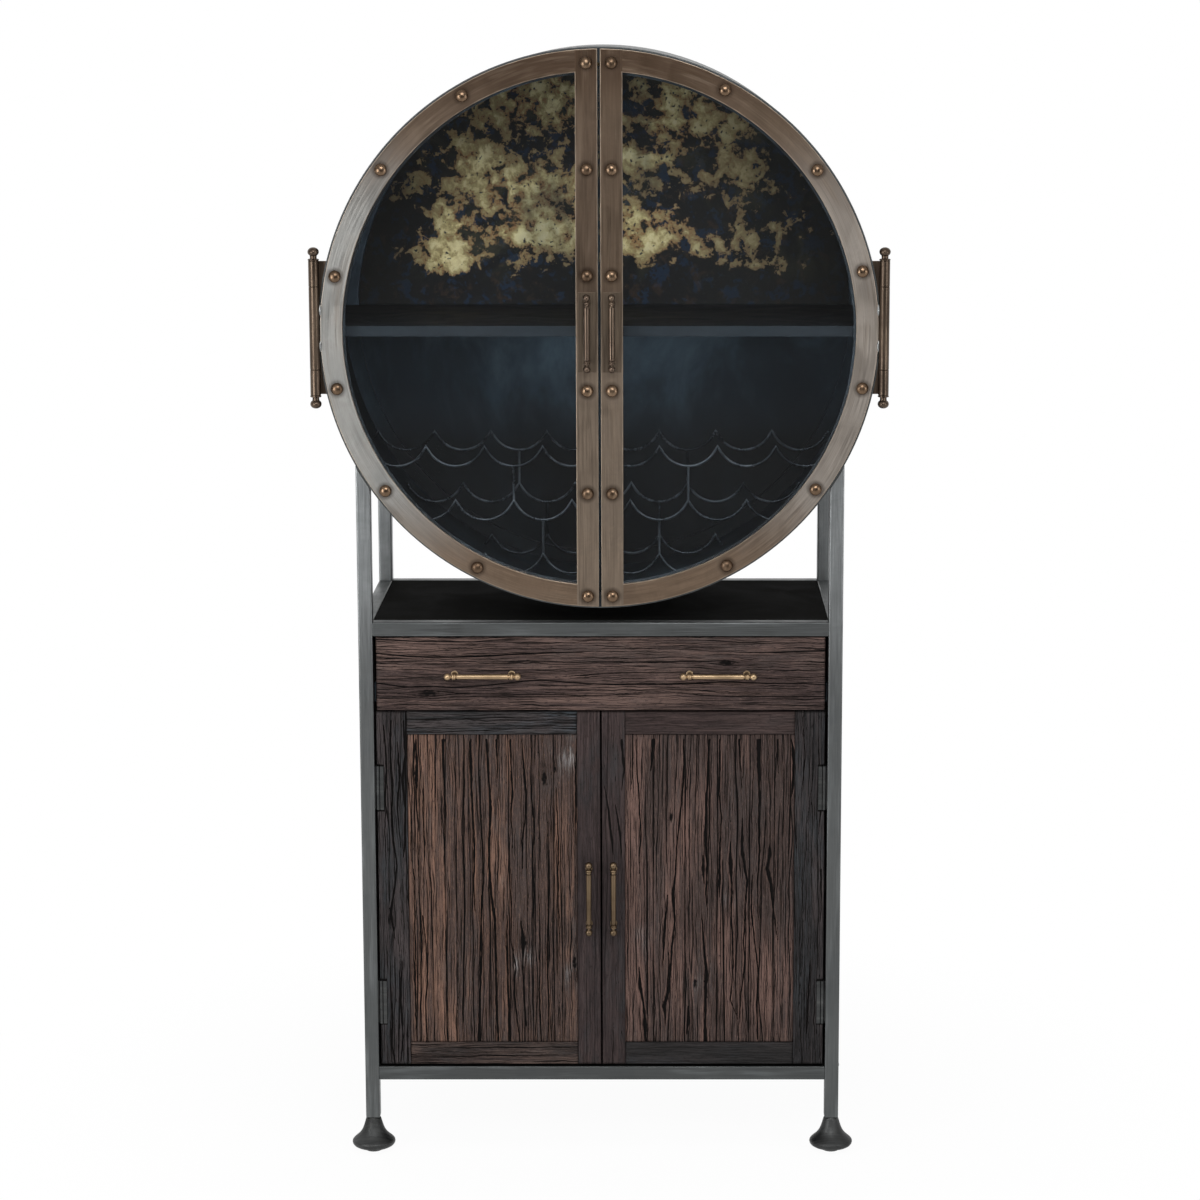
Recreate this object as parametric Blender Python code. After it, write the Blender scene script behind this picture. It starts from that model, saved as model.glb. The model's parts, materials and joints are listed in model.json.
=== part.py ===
"""Round bar cabinet: a glazed steel drum on a square-tube frame, over a drawer and a two-door cupboard.

Metres, +Z up. The origin is on the floor, under the middle of the whole cabinet, and the front faces -Y.
Left and right are as seen from the front, so left is -X.
"""
import math

import bmesh
import bpy
from mathutils import Matrix, Vector

# Fits
SEAT = 0.0003             # gap left between two pieces that rest on each other
PIN_PLAY = 0.0005         # hinge bore over hinge pin, on the radius

# Welded frame of square tube
FRAME_WIDTH = 0.846
FRAME_DEPTH = 0.457
TUBE = 0.025
TUBE_WALL = 0.002
LOWER_RAIL_BASE = 0.134   # floor to the underside of the lower rails
UPPER_RAIL_GAP = 0.002    # drawer front to the upper front rail

# Bell feet
FOOT_HEIGHT = 0.062       # floor to the cut end of the post
GLIDE_RADIUS = 0.0155
GLIDE_HEIGHT = 0.005
BELL_RADIUS = 0.0385
BELL_RIM_HEIGHT = 0.0165  # floor to the widest part of the bell
BELL_NECK_RADIUS = 0.0175
BELL_NECK_HEIGHT = 0.0455
SPIGOT_LENGTH = 0.020
FOOT_SIDES = 16

# Boards of the lower case
DECK_THICKNESS = 0.018
FLOOR_THICKNESS = 0.018
WALL_THICKNESS = 0.012
DIVIDER_THICKNESS = 0.012
SHELF_THICKNESS = 0.018
SHELF_HEIGHT = 0.330      # cupboard floor to the underside of the shelf
SHELF_SETBACK = 0.045     # frame front to the front edge of the shelf

# Cupboard doors
FACE_SETBACK = 0.001      # frame front to the front of doors and drawer
DOOR_HEIGHT = 0.6425
DOOR_THICKNESS = 0.022
DOOR_FOOT_GAP = 0.004
DOOR_HINGE_GAP = 0.004
DOOR_MEETING_GAP = 0.003
DOOR_BACK_GAP = 0.0015    # back of the doors to the boards of the case
HINGE_STILE = 0.053
MEETING_STILE = 0.0405
DOOR_RAIL = 0.040
DOOR_PANEL_THICKNESS = 0.010
DOOR_PANEL_SETBACK = 0.005
PANEL_GROOVE = 0.008

# Catches and shelf cleats
CATCH_WIDTH = 0.060
CATCH_HEIGHT = 0.014
CATCH_LENGTH = 0.040
CATCH_PLAY = 0.0005       # closed door to the face of its catch
CLEAT_HEIGHT = 0.020
CLEAT_THICKNESS = 0.012

# Butt hinges of the cupboard doors
BUTT_LENGTH = 0.079
BUTT_INSET = 0.097        # door's end to the hinge's near end, top hinge
BUTT_FOOT_INSET = 0.075   # door's end to the hinge's near end, bottom hinge
BUTT_RADIUS = 0.003
BUTT_PIN_RADIUS = 0.0013
BUTT_LEAF = 0.0013
BUTT_LEAF_DEPTH = 0.014
BUTT_AXIS_INSET = 0.0055  # inner face of the post to the hinge axis
BUTT_AXIS_SETBACK = 0.0035
BUTT_CLEARANCE = 0.001    # knuckle to the notch round it
BUTT_STEPS = 8

# Drawer
DRAWER_GAP = 0.0035       # top of the doors to the drawer front
DRAWER_FRONT_HEIGHT = 0.130
DRAWER_FRONT_THICKNESS = 0.020
DRAWER_SIDE_GAP = 0.0055
DRAWER_BOARD = 0.012
DRAWER_BOTTOM = 0.006
DRAWER_BOX_HEIGHT = 0.095
DRAWER_BOX_LENGTH = 0.380
DRAWER_LIFT = 0.014       # bottom of the drawer front to the bottom of the box
DRAWER_EDGE = 0.0015      # chamfer on the drawer front
RUNNER_GAP = 0.012        # inner face of the case to the side of the drawer box
RUNNER_WALL = 0.0025
RUNNER_HEIGHT = 0.030
RUNNER_REACH = 0.026
RUNNER_SETBACK = 0.026

# Drum
DRUM_OVERHANG = 0.059     # how far the drum stands out past the frame on each side
DRUM_LIFT = 0.026         # deck to the lowest point of the drum
SHELL_WALL = 0.002
HOOP_WIDTH = 0.025        # front flange and rear rim, inwards from the shell
HOOP_THICKNESS = 0.003
BACK_RIM_DEPTH = 0.010
BACK_THICKNESS = 0.002
MIRROR_THICKNESS = 0.004
DRUM_SHELF_THICKNESS = 0.018
DRUM_SHELF_SETBACK = 0.025  # drum front to the front edge of its shelf
DRUM_SHELF_RISE = 0.007   # drum centre to the top of its shelf
DRUM_STEPS = 64

# Wire wine racks
WIRE_RADIUS = 0.0022
RACK_PITCH = 0.1025
RACK_SAG = 0.038
RACK_ROW_PITCH = 0.0955
RACK_ROWS = 3
RACK_RISE = 0.0425        # lowest point inside the drum to the troughs of the bottom row
FRONT_RACK_SETBACK = 0.100
REAR_RACK_SETBACK = 0.320
CREST_WIDTH = 0.010       # rounded part of a crest
CREST_DROP = 0.06         # how far rounding lowers a crest, as a share of the sag
WIRE_STEPS = 6            # straight pieces of wire to one scallop, an even number

# Drum doors
RING_SETBACK = 0.0035     # drum's outside to the door ring's outside
RING_BAR = 0.038
RING_THICKNESS = 0.006
RING_GAP = 0.002          # drum front to the back of the door ring
DOOR_SPLIT = 0.0046
GLASS_THICKNESS = 0.004
GLASS_LAP = 0.0085        # how far the glass runs behind the steel
BEAD_WIDTH = 0.012
BEAD_THICKNESS = 0.003

# Rivets
RIVET_RADIUS = 0.0098
RIVET_HEIGHT = 0.0065
RIVET_ROOT = 0.002        # depth of a rivet head's root in the steel
RIVET_INSET = 0.0185      # door ring's outside to the rivet circle
RIVET_FIRST_ANGLE = 29.0  # degrees from the top
RIVET_ANGLE_STEP = 24.6
ARC_RIVETS = 6
STILE_RIVETS = 6
RIVET_STILE_INSET = 0.0212  # door ring's outside to the end rivets of the stile
RIVET_STEPS = 8

# Drum hinges
HINGE_OFFSET = 0.0095     # door ring's outside to the hinge axis
HINGE_RADIUS = 0.0085
HINGE_PIN_RADIUS = 0.004
HINGE_AXIS_DEPTH = 0.0065  # drum front to the hinge axis, forwards
MIDDLE_KNUCKLE = 0.142
OUTER_KNUCKLE = 0.044
HINGE_RISE = 0.006        # drum centre to the middle of its hinges
HINGE_LEAF = 0.004
FINIAL_RADIUS = 0.010
HINGE_STEPS = 12
KNUCKLE_STEP = 0.001      # end of a knuckle past the end of its leaf
WELD_LENGTH = 0.026
WELD_RADIUS = 0.0040
WELD_SPACING = 0.062

# Bar handles
GRIP_LENGTH = 0.135
GRIP_RADIUS = 0.0048
DRUM_GRIP_RADIUS = 0.0058
GRIP_TAPER = 0.0008       # how much thinner the bar is at its other end
GRIP_BALL_RADIUS = 0.0066
GRIP_REACH = 0.024        # mounting face to the middle of the bar
GRIP_POST_RADIUS = 0.0036
GRIP_POST_SPACING = 0.100
GRIP_STEPS = 8
HANDLE_PLATE_WIDTH = 0.031
HANDLE_PLATE_LENGTH = 0.137
HANDLE_PLATE_THICKNESS = 0.0015
DRUM_HANDLE_DROP = 0.001  # drum centre to the middle of the handle
DOOR_HANDLE_HEIGHT = 0.311  # bottom of the door to the middle of its handle
DRAWER_HANDLE_SPREAD = 0.2055  # middle of the drawer to the middle of a handle

# Places that follow from the sizes above
HANDLE_PROUD = RING_GAP + RING_THICKNESS + SEAT + HANDLE_PLATE_THICKNESS + GRIP_REACH + GRIP_BALL_RADIUS
FOOT_PROUD = BELL_RADIUS - TUBE / 2
FRONT = (HANDLE_PROUD - FRAME_DEPTH - FOOT_PROUD) / 2
BACK = FRONT + FRAME_DEPTH
HALF_FRAME = FRAME_WIDTH / 2
HALF_BAY = HALF_FRAME - TUBE
BAY_FRONT = FRONT + TUBE + SEAT
BAY_BACK = BACK - TUBE - SEAT
LOWER_RAIL_TOP = LOWER_RAIL_BASE + TUBE
DOOR_FOOT = LOWER_RAIL_TOP + DOOR_FOOT_GAP
DOOR_TOP = DOOR_FOOT + DOOR_HEIGHT
DRAWER_FOOT = DOOR_TOP + DRAWER_GAP
DRAWER_TOP = DRAWER_FOOT + DRAWER_FRONT_HEIGHT
UPPER_RAIL_BASE = DRAWER_TOP + UPPER_RAIL_GAP
UPPER_RAIL_TOP = UPPER_RAIL_BASE + TUBE
FACE = FRONT + FACE_SETBACK
CASE_FRONT = FACE + DOOR_THICKNESS + DOOR_BACK_GAP
DRUM_RADIUS = HALF_FRAME + DRUM_OVERHANG
DRUM_CENTRE = UPPER_RAIL_TOP + DRUM_LIFT + DRUM_RADIUS
DRUM_INSIDE = DRUM_RADIUS - SHELL_WALL
HOOP_OUTSIDE = DRUM_INSIDE - SEAT
HOOP_INSIDE = HOOP_OUTSIDE - HOOP_WIDTH
BACK_PANEL_FACE = BACK - BACK_THICKNESS
BACK_RIM_FACE = BACK_PANEL_FACE - BACK_RIM_DEPTH
RING_RADIUS = DRUM_RADIUS - RING_SETBACK
RING_BACK = FRONT - RING_GAP
RING_FACE = RING_BACK - RING_THICKNESS
STILE_EDGE = DOOR_SPLIT / 2
STILE_INNER = STILE_EDGE + RING_BAR
HINGE_X = RING_RADIUS + HINGE_OFFSET
HINGE_Y = FRONT - HINGE_AXIS_DEPTH
HINGE_Z = DRUM_CENTRE + HINGE_RISE
BUTT_X = HALF_BAY - BUTT_AXIS_INSET
BUTT_Y = FRONT + BUTT_AXIS_SETBACK

# Finishes: colour, metallic, roughness
FINISHES = {
    "gunmetal_steel": ((0.16, 0.17, 0.165), 0.85, 0.45),
    "cast_iron": ((0.045, 0.045, 0.043), 0.8, 0.55),
    "black_board": ((0.012, 0.011, 0.010), 0.0, 0.55),
    "slate_steel": ((0.055, 0.065, 0.075), 0.3, 0.5),
    "slate_board": ((0.055, 0.065, 0.075), 0.0, 0.55),
    "aged_bronze": ((0.16, 0.115, 0.085), 0.9, 0.4),
    "aged_brass": ((0.22, 0.15, 0.085), 0.95, 0.35),
    "clear_glass": ((0.75, 0.80, 0.82), 0.0, 0.05),
    "antique_mirror": ((0.30, 0.27, 0.17), 0.9, 0.3),
    "drawer_wood": ((0.075, 0.050, 0.045), 0.0, 0.8),
    "frame_wood": ((0.035, 0.032, 0.034), 0.0, 0.8),
    "panel_wood": ((0.085, 0.055, 0.045), 0.0, 0.8),
    "plain_wood": ((0.16, 0.10, 0.06), 0.0, 0.65),
}


def clear_scene():
    """Remove whatever the scene holds."""
    for thing in list(bpy.data.objects):
        bpy.data.objects.remove(thing)


def finish_piece(piece, name, finish):
    """Name a piece and give it a material of its own in one of the finishes."""
    colour, metallic, roughness = FINISHES[finish]
    piece.name = name
    piece.data.name = name
    made = bpy.data.materials.new(name)
    made.use_nodes = True
    shader = made.node_tree.nodes["Principled BSDF"]
    shader.inputs["Base Color"].default_value = (*colour, 1.0)
    shader.inputs["Metallic"].default_value = metallic
    shader.inputs["Roughness"].default_value = roughness
    piece.data.materials.append(made)
    return piece


def new_tool(shape, smooth=False):
    """Turn a shape into a loose solid, for joining to a piece or cutting it."""
    bmesh.ops.recalc_face_normals(shape, faces=shape.faces)
    mesh = bpy.data.meshes.new("tool")
    shape.to_mesh(mesh)
    shape.free()
    if smooth:
        mesh.shade_smooth()
        mesh.set_sharp_from_angle(angle=math.radians(35))
    tool = bpy.data.objects.new("tool", mesh)
    bpy.context.collection.objects.link(tool)
    return tool


def new_piece(name, shape, finish, smooth=False):
    """Turn a shape into a named object with its finish."""
    return finish_piece(new_tool(shape, smooth), name, finish)


def hang(piece, pivot):
    """Carry a piece, modelled in place, on the empty at its joint."""
    piece.data.transform(Matrix.Translation(-pivot.location))
    piece.parent = pivot
    return piece


def new_pivot(name, place):
    """Add the empty that stands on a joint's axis."""
    pivot = bpy.data.objects.new(name, None)
    pivot.location = place
    bpy.context.collection.objects.link(pivot)
    return pivot


def combine(piece, tool, operation):
    """Join a tool to a piece, or cut it out, and delete the tool."""
    step = piece.modifiers.new(operation, "BOOLEAN")
    step.operation = operation
    step.solver = "EXACT"
    step.object = tool
    bpy.context.view_layer.update()
    view = bpy.context.evaluated_depsgraph_get()
    result = bpy.data.meshes.new_from_object(piece.evaluated_get(view))
    used = piece.data
    piece.modifiers.remove(step)
    piece.data = result
    result.name = used.name
    bpy.data.meshes.remove(used)
    spent = tool.data
    bpy.data.objects.remove(tool)
    bpy.data.meshes.remove(spent)


def add_box(shape, corner, opposite):
    """Add a box between two opposite corners."""
    corner, opposite = Vector(corner), Vector(opposite)
    middle = (corner + opposite) / 2
    size = [abs(a - b) for a, b in zip(corner, opposite)]
    place = Matrix.Translation(middle) @ Matrix.Diagonal((*size, 1.0))
    bmesh.ops.create_cube(shape, size=1.0, matrix=place)


def box_tool(corner, opposite):
    """Return a loose box."""
    shape = bmesh.new()
    add_box(shape, corner, opposite)
    return new_tool(shape)


def push_out(shape, faces, depth):
    """Extrude flat faces into a closed solid."""
    grown = bmesh.ops.extrude_face_region(shape, geom=faces)
    moved = [part for part in grown["geom"] if isinstance(part, bmesh.types.BMVert)]
    bmesh.ops.translate(shape, verts=moved, vec=depth)


def add_prism(shape, corners, depth):
    """Extrude a closed outline of points along depth."""
    face = shape.faces.new([shape.verts.new(corner) for corner in corners])
    push_out(shape, [face], depth)


def add_frame_plate(shape, outer, inner, depth):
    """Bridge two outlines with equally many points and extrude the flat ring between them."""
    rings = []
    for outline in (outer, inner):
        verts = [shape.verts.new(point) for point in outline]
        rings += [shape.edges.new((a, b)) for a, b in zip(verts, verts[1:] + verts[:1])]
    faces = bmesh.ops.bridge_loops(shape, edges=rings)["faces"]
    push_out(shape, faces, depth)


def add_turned(shape, profile, steps, place=Matrix()):
    """Spin a profile of (radius, height) points, which starts and ends on the axis, round the Z of place."""
    verts = [shape.verts.new(place @ Vector((radius, 0.0, height))) for radius, height in profile]
    edges = [shape.edges.new(pair) for pair in zip(verts, verts[1:])]
    axis = place.to_3x3() @ Vector((0, 0, 1))
    bmesh.ops.spin(shape, geom=verts + edges, cent=place.translation, axis=axis,
                   angle=math.tau, steps=steps, use_merge=True)
    bmesh.ops.remove_doubles(shape, verts=shape.verts, dist=1e-6)


def turned_tool(profile, steps, place=Matrix()):
    """Return one loose turned solid."""
    shape = bmesh.new()
    add_turned(shape, profile, steps, place)
    return new_tool(shape, smooth=True)


def rod_profile(radius, low, high):
    """Return the profile of a plain rod."""
    return [(0.0, low), (radius, low), (radius, high), (0.0, high)]


def circle_points(radius, y, steps=DRUM_STEPS):
    """Return the points of a circle round the drum's axis."""
    turn = [math.tau * index / steps for index in range(steps)]
    return [(radius * math.cos(a), y, DRUM_CENTRE + radius * math.sin(a)) for a in turn]


def drum_disc(radius, y, depth):
    """Return a loose solid disc on the drum's axis, running back from y."""
    shape = bmesh.new()
    add_prism(shape, circle_points(radius, y), (0, depth, 0))
    return new_tool(shape, smooth=True)


def drum_hoop(name, outside, inside, y, depth, finish):
    """Return a hoop on the drum's axis, running back from y."""
    shape = bmesh.new()
    add_frame_plate(shape, circle_points(outside, y), circle_points(inside, y), (0, depth, 0))
    return new_piece(name, shape, finish, smooth=True)


def square_points(half, start, along):
    """Return the corners of a square section across the direction along, 'x', 'y' or 'z'."""
    corners = [(-half, -half), (half, -half), (half, half), (-half, half)]
    turn = {"x": lambda a, b: (0, a, b), "y": lambda a, b: (a, 0, b), "z": lambda a, b: (a, b, 0)}[along]
    return [Vector(start) + Vector(turn(a, b)) for a, b in corners]


def add_square_tube(shape, start, along, length):
    """Add a hollow square tube whose centre line starts at start."""
    depth = Vector([length if axis == along else 0.0 for axis in "xyz"])
    outer = square_points(TUBE / 2, start, along)
    inner = square_points(TUBE / 2 - TUBE_WALL, start, along)
    add_frame_plate(shape, outer, inner, depth)


def build_posts():
    """Four posts, their tops cut to the drum they are welded to; the front two carry the door hinges."""
    inner_gap = math.sqrt(DRUM_RADIUS ** 2 - HALF_FRAME ** 2)
    reach = DRUM_CENTRE - inner_gap + TUBE
    for depth_name, y in (("front", FRONT + TUBE / 2), ("rear", BACK - TUBE / 2)):
        for side_name, side in (("left", -1), ("right", 1)):
            shape = bmesh.new()
            x = side * (HALF_FRAME - TUBE / 2)
            add_square_tube(shape, (x, y, FOOT_HEIGHT + SEAT), "z", reach - FOOT_HEIGHT)
            post = new_piece(f"{depth_name}_{side_name}_post", shape, "gunmetal_steel")
            combine(post, drum_disc(DRUM_RADIUS + SEAT, FRONT - TUBE, FRAME_DEPTH + 2 * TUBE), "DIFFERENCE")
            if depth_name == "front":
                for height in butt_heights():
                    combine(post, post_leaf(side, height), "UNION")


def post_leaf(side, height):
    """Return the hinge leaf welded to a post, with its two knuckles and the pin."""
    third = BUTT_LENGTH / 3
    low, high = height - BUTT_LENGTH / 2, height + BUTT_LENGTH / 2
    leaf_front = BUTT_Y + BUTT_RADIUS / 2
    weld = side * (HALF_BAY + TUBE_WALL / 2)
    inner = side * (HALF_BAY - BUTT_LEAF)
    leaf = box_tool((weld, leaf_front, low + KNUCKLE_STEP),
                    (inner, leaf_front + BUTT_LEAF_DEPTH, high - KNUCKLE_STEP))
    profile = [(0.0, low), (BUTT_RADIUS, low), (BUTT_RADIUS, low + third - SEAT),
               (BUTT_PIN_RADIUS, low + third - SEAT), (BUTT_PIN_RADIUS, high - third + SEAT),
               (BUTT_RADIUS, high - third + SEAT), (BUTT_RADIUS, high), (0.0, high)]
    place = Matrix.Translation((side * BUTT_X, BUTT_Y, 0))
    knuckles = turned_tool(profile, BUTT_STEPS, place)
    for start in (low, high - third + SEAT):
        corner = (side * (HALF_BAY - BUTT_LEAF / 2), BUTT_Y + BUTT_RADIUS / 4, start + KNUCKLE_STEP)
        opposite = (side * (BUTT_X + BUTT_RADIUS / 3), leaf_front + BUTT_LEAF, start + third - KNUCKLE_STEP)
        combine(knuckles, box_tool(corner, opposite), "UNION")
    combine(leaf, knuckles, "UNION")
    return leaf


def build_rails():
    """Upper and lower rails between the posts."""
    across = 2 * (HALF_BAY - SEAT)
    deep = BAY_BACK - BAY_FRONT
    for level, base in (("upper", UPPER_RAIL_BASE), ("lower", LOWER_RAIL_BASE)):
        z = base + TUBE / 2
        for depth_name, y in (("front", FRONT + TUBE / 2), ("rear", BACK - TUBE / 2)):
            shape = bmesh.new()
            add_square_tube(shape, (-across / 2, y, z), "x", across)
            new_piece(f"{level}_{depth_name}_rail", shape, "gunmetal_steel")
        for side_name, side in (("left", -1), ("right", 1)):
            shape = bmesh.new()
            add_square_tube(shape, (side * (HALF_FRAME - TUBE / 2), BAY_FRONT, z), "y", deep)
            new_piece(f"{level}_{side_name}_rail", shape, "gunmetal_steel")


def foot_ring(radius, half, blend, z):
    """Return one section of a foot: round at blend 0, the post's square at blend 1."""
    points = []
    for index in range(FOOT_SIDES):
        angle = math.tau * index / FOOT_SIDES
        square = half / max(abs(math.cos(angle)), abs(math.sin(angle)))
        reach = radius + (square - radius) * blend
        points.append(Vector((reach * math.cos(angle), reach * math.sin(angle), z)))
    return points


def foot_sections():
    """Return the sections of a bell foot from the floor up to the spigot inside the post."""
    rim = BELL_RADIUS
    under = BELL_RIM_HEIGHT - GLIDE_HEIGHT
    rise = BELL_NECK_HEIGHT - BELL_RIM_HEIGHT
    slope = rim - BELL_NECK_RADIUS
    tube = TUBE / 2
    spigot = TUBE / 2 - TUBE_WALL - SEAT
    top = FOOT_HEIGHT + SPIGOT_LENGTH
    return [
        foot_ring(GLIDE_RADIUS * 0.92, tube, 0, 0.0),
        foot_ring(GLIDE_RADIUS, tube, 0, GLIDE_HEIGHT * 0.3),
        foot_ring(GLIDE_RADIUS * 1.12, tube, 0, GLIDE_HEIGHT),
        foot_ring(rim * 0.74, tube, 0, GLIDE_HEIGHT + under * 0.26),
        foot_ring(rim * 0.96, tube, 0, GLIDE_HEIGHT + under * 0.62),
        foot_ring(rim, tube, 0, BELL_RIM_HEIGHT),
        foot_ring(rim - slope * 0.06, tube, 0, BELL_RIM_HEIGHT + rise * 0.10),
        foot_ring(rim - slope * 0.16, tube, 0, BELL_RIM_HEIGHT + rise * 0.19),
        foot_ring(rim - slope * 0.43, tube, 0, BELL_RIM_HEIGHT + rise * 0.36),
        foot_ring(rim - slope * 0.75, tube, 0, BELL_RIM_HEIGHT + rise * 0.62),
        foot_ring(BELL_NECK_RADIUS, tube, 0.15, BELL_NECK_HEIGHT),
        foot_ring((BELL_NECK_RADIUS + tube) / 2, tube, 0.5, (BELL_NECK_HEIGHT + FOOT_HEIGHT) / 2),
        foot_ring(BELL_NECK_RADIUS, tube, 1, FOOT_HEIGHT),
        foot_ring(BELL_NECK_RADIUS, spigot, 1, FOOT_HEIGHT),
        foot_ring(BELL_NECK_RADIUS, spigot, 1, top),
    ]


def build_feet():
    """Four cast bell feet, each with a glide below and a spigot in its post."""
    for depth_name, y in (("front", FRONT + TUBE / 2), ("rear", BACK - TUBE / 2)):
        for side_name, side in (("left", -1), ("right", 1)):
            shape = bmesh.new()
            rings = [[shape.verts.new(point) for point in section] for section in foot_sections()]
            for low, high in zip(rings, rings[1:]):
                for index in range(FOOT_SIDES):
                    after = (index + 1) % FOOT_SIDES
                    shape.faces.new((low[index], low[after], high[after], high[index]))
            shape.faces.new(list(reversed(rings[0])))
            shape.faces.new(rings[-1])
            foot = new_piece(f"{depth_name}_{side_name}_foot", shape, "cast_iron", smooth=True)
            foot.location = (side * (HALF_FRAME - TUBE / 2), y, 0)


def build_case():
    """Deck, floor, walls, back, divider and shelf of the lower case."""
    edge = HALF_BAY - SEAT
    low = LOWER_RAIL_TOP + SEAT
    high = UPPER_RAIL_BASE - SEAT
    shelf_foot = LOWER_RAIL_TOP + SHELF_HEIGHT
    outside = HALF_BAY + WALL_THICKNESS
    back_face = BACK - TUBE
    boards = {
        "deck_panel": (
            (-edge, BAY_FRONT, UPPER_RAIL_TOP - DECK_THICKNESS), (edge, BAY_BACK, UPPER_RAIL_TOP)),
        "cupboard_floor": (
            (-edge, BAY_FRONT, LOWER_RAIL_TOP - FLOOR_THICKNESS), (edge, BAY_BACK, LOWER_RAIL_TOP)),
        "left_wall": ((-outside, BAY_FRONT, low), (-HALF_BAY, BAY_BACK, high)),
        "right_wall": ((HALF_BAY, BAY_FRONT, low), (outside, BAY_BACK, high)),
        "cupboard_back": ((-edge, back_face, low), (edge, back_face + WALL_THICKNESS, high)),
        "drawer_divider": ((-edge, CASE_FRONT, DOOR_TOP - DIVIDER_THICKNESS), (edge, BAY_BACK, DOOR_TOP)),
        "cupboard_shelf": (
            (-edge, FRONT + SHELF_SETBACK, shelf_foot), (edge, BAY_BACK, shelf_foot + SHELF_THICKNESS)),
    }
    made = {}
    for name, (corner, opposite) in boards.items():
        shape = bmesh.new()
        add_box(shape, corner, opposite)
        made[name] = new_piece(name, shape, "black_board")

    for side_name, side in (("left", -1), ("right", 1)):
        cleat_x = side * (HALF_BAY - CLEAT_THICKNESS)
        cleat = box_tool((cleat_x, FRONT + SHELF_SETBACK, shelf_foot - CLEAT_HEIGHT),
                         (side * (HALF_BAY + WALL_THICKNESS / 2), BAY_BACK - TUBE, shelf_foot - SEAT))
        combine(made[f"{side_name}_wall"], cleat, "UNION")
        middle = side * CATCH_WIDTH
        top = DOOR_TOP - DIVIDER_THICKNESS
        catch = box_tool((middle - CATCH_WIDTH / 2, FACE + DOOR_THICKNESS + CATCH_PLAY, top - CATCH_HEIGHT),
                         (middle + CATCH_WIDTH / 2, CASE_FRONT + CATCH_LENGTH, top + DIVIDER_THICKNESS / 2))
        combine(made["drawer_divider"], catch, "UNION")


def build_runners():
    """Two steel angles that carry the drawer box."""
    seat = DRAWER_FOOT + DRAWER_LIFT - SEAT
    front = FRONT + RUNNER_SETBACK
    wall = HALF_BAY - SEAT
    section = [
        (wall, seat - RUNNER_WALL), (wall - RUNNER_REACH, seat - RUNNER_WALL), (wall - RUNNER_REACH, seat),
        (wall - RUNNER_WALL, seat), (wall - RUNNER_WALL, seat + RUNNER_HEIGHT), (wall, seat + RUNNER_HEIGHT)]
    for side_name, side in (("left", -1), ("right", 1)):
        shape = bmesh.new()
        add_prism(shape, [(side * u, front, z) for u, z in section], (0, BAY_BACK - front, 0))
        new_piece(f"{side_name}_drawer_runner", shape, "slate_steel")


def build_drum():
    """Rolled shell, front flange, back pan with its rim, shelf and mirror."""
    drum_hoop("drum_shell", DRUM_RADIUS, DRUM_INSIDE, FRONT, FRAME_DEPTH, "gunmetal_steel")
    drum_hoop("drum_front_hoop", HOOP_OUTSIDE, HOOP_INSIDE, FRONT, HOOP_THICKNESS, "slate_steel")
    pan = drum_disc(HOOP_OUTSIDE, BACK_RIM_FACE, BACK - BACK_RIM_FACE)
    combine(pan, drum_disc(HOOP_INSIDE, BACK_RIM_FACE - TUBE, BACK_RIM_DEPTH + TUBE), "DIFFERENCE")
    finish_piece(pan, "drum_back_pan", "slate_steel")

    top = DRUM_SHELF_RISE
    foot = top - DRUM_SHELF_THICKNESS
    rise = max(abs(top), abs(foot))
    facet = math.cos(math.pi / DRUM_STEPS)
    wide = math.sqrt((DRUM_INSIDE * facet) ** 2 - rise ** 2) - SEAT
    narrow = math.sqrt((HOOP_INSIDE * facet) ** 2 - rise ** 2) - SEAT
    front = FRONT + DRUM_SHELF_SETBACK
    step = BACK_RIM_FACE - SEAT
    back = BACK_PANEL_FACE - SEAT
    plan = [(-wide, front), (wide, front), (wide, step), (narrow, step), (narrow, back),
            (-narrow, back), (-narrow, step), (-wide, step)]
    shape = bmesh.new()
    add_prism(shape, [(x, y, DRUM_CENTRE + foot) for x, y in plan], (0, 0, DRUM_SHELF_THICKNESS))
    shelf = new_piece("drum_shelf", shape, "slate_board")
    catch = box_tool((-CATCH_WIDTH / 2, RING_BACK + CATCH_PLAY, DRUM_CENTRE + foot - CATCH_HEIGHT),
                     (CATCH_WIDTH / 2, front + CATCH_LENGTH, DRUM_CENTRE + foot + DRUM_SHELF_THICKNESS / 2))
    combine(shelf, catch, "UNION")

    radius = HOOP_INSIDE * facet - SEAT
    sill = top + SEAT
    start = math.asin(sill / radius)
    steps = DRUM_STEPS // 2
    turn = [start + (math.pi - 2 * start) * index / steps for index in range(steps + 1)]
    arch = [(radius * math.cos(a), back, DRUM_CENTRE + radius * math.sin(a)) for a in turn]
    shape = bmesh.new()
    add_prism(shape, arch, (0, -MIRROR_THICKNESS, 0))
    new_piece("antique_mirror", shape, "antique_mirror", smooth=True)


def scallop(x, phase):
    """Return how far a rack's wire hangs below its crests at x, with a crest at phase times the pitch."""
    half = RACK_PITCH / 2
    across = abs((x / RACK_PITCH - phase) % 1.0 - 0.5) * RACK_PITCH
    radius = (half ** 2 + RACK_SAG ** 2) / (2 * RACK_SAG)
    sag = math.sqrt(radius ** 2 - across ** 2) - (radius - RACK_SAG)
    rounding = max(0.0, across - (half - CREST_WIDTH / 2)) / (CREST_WIDTH / 2)
    return sag + RACK_SAG * CREST_DROP * rounding ** 2


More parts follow.
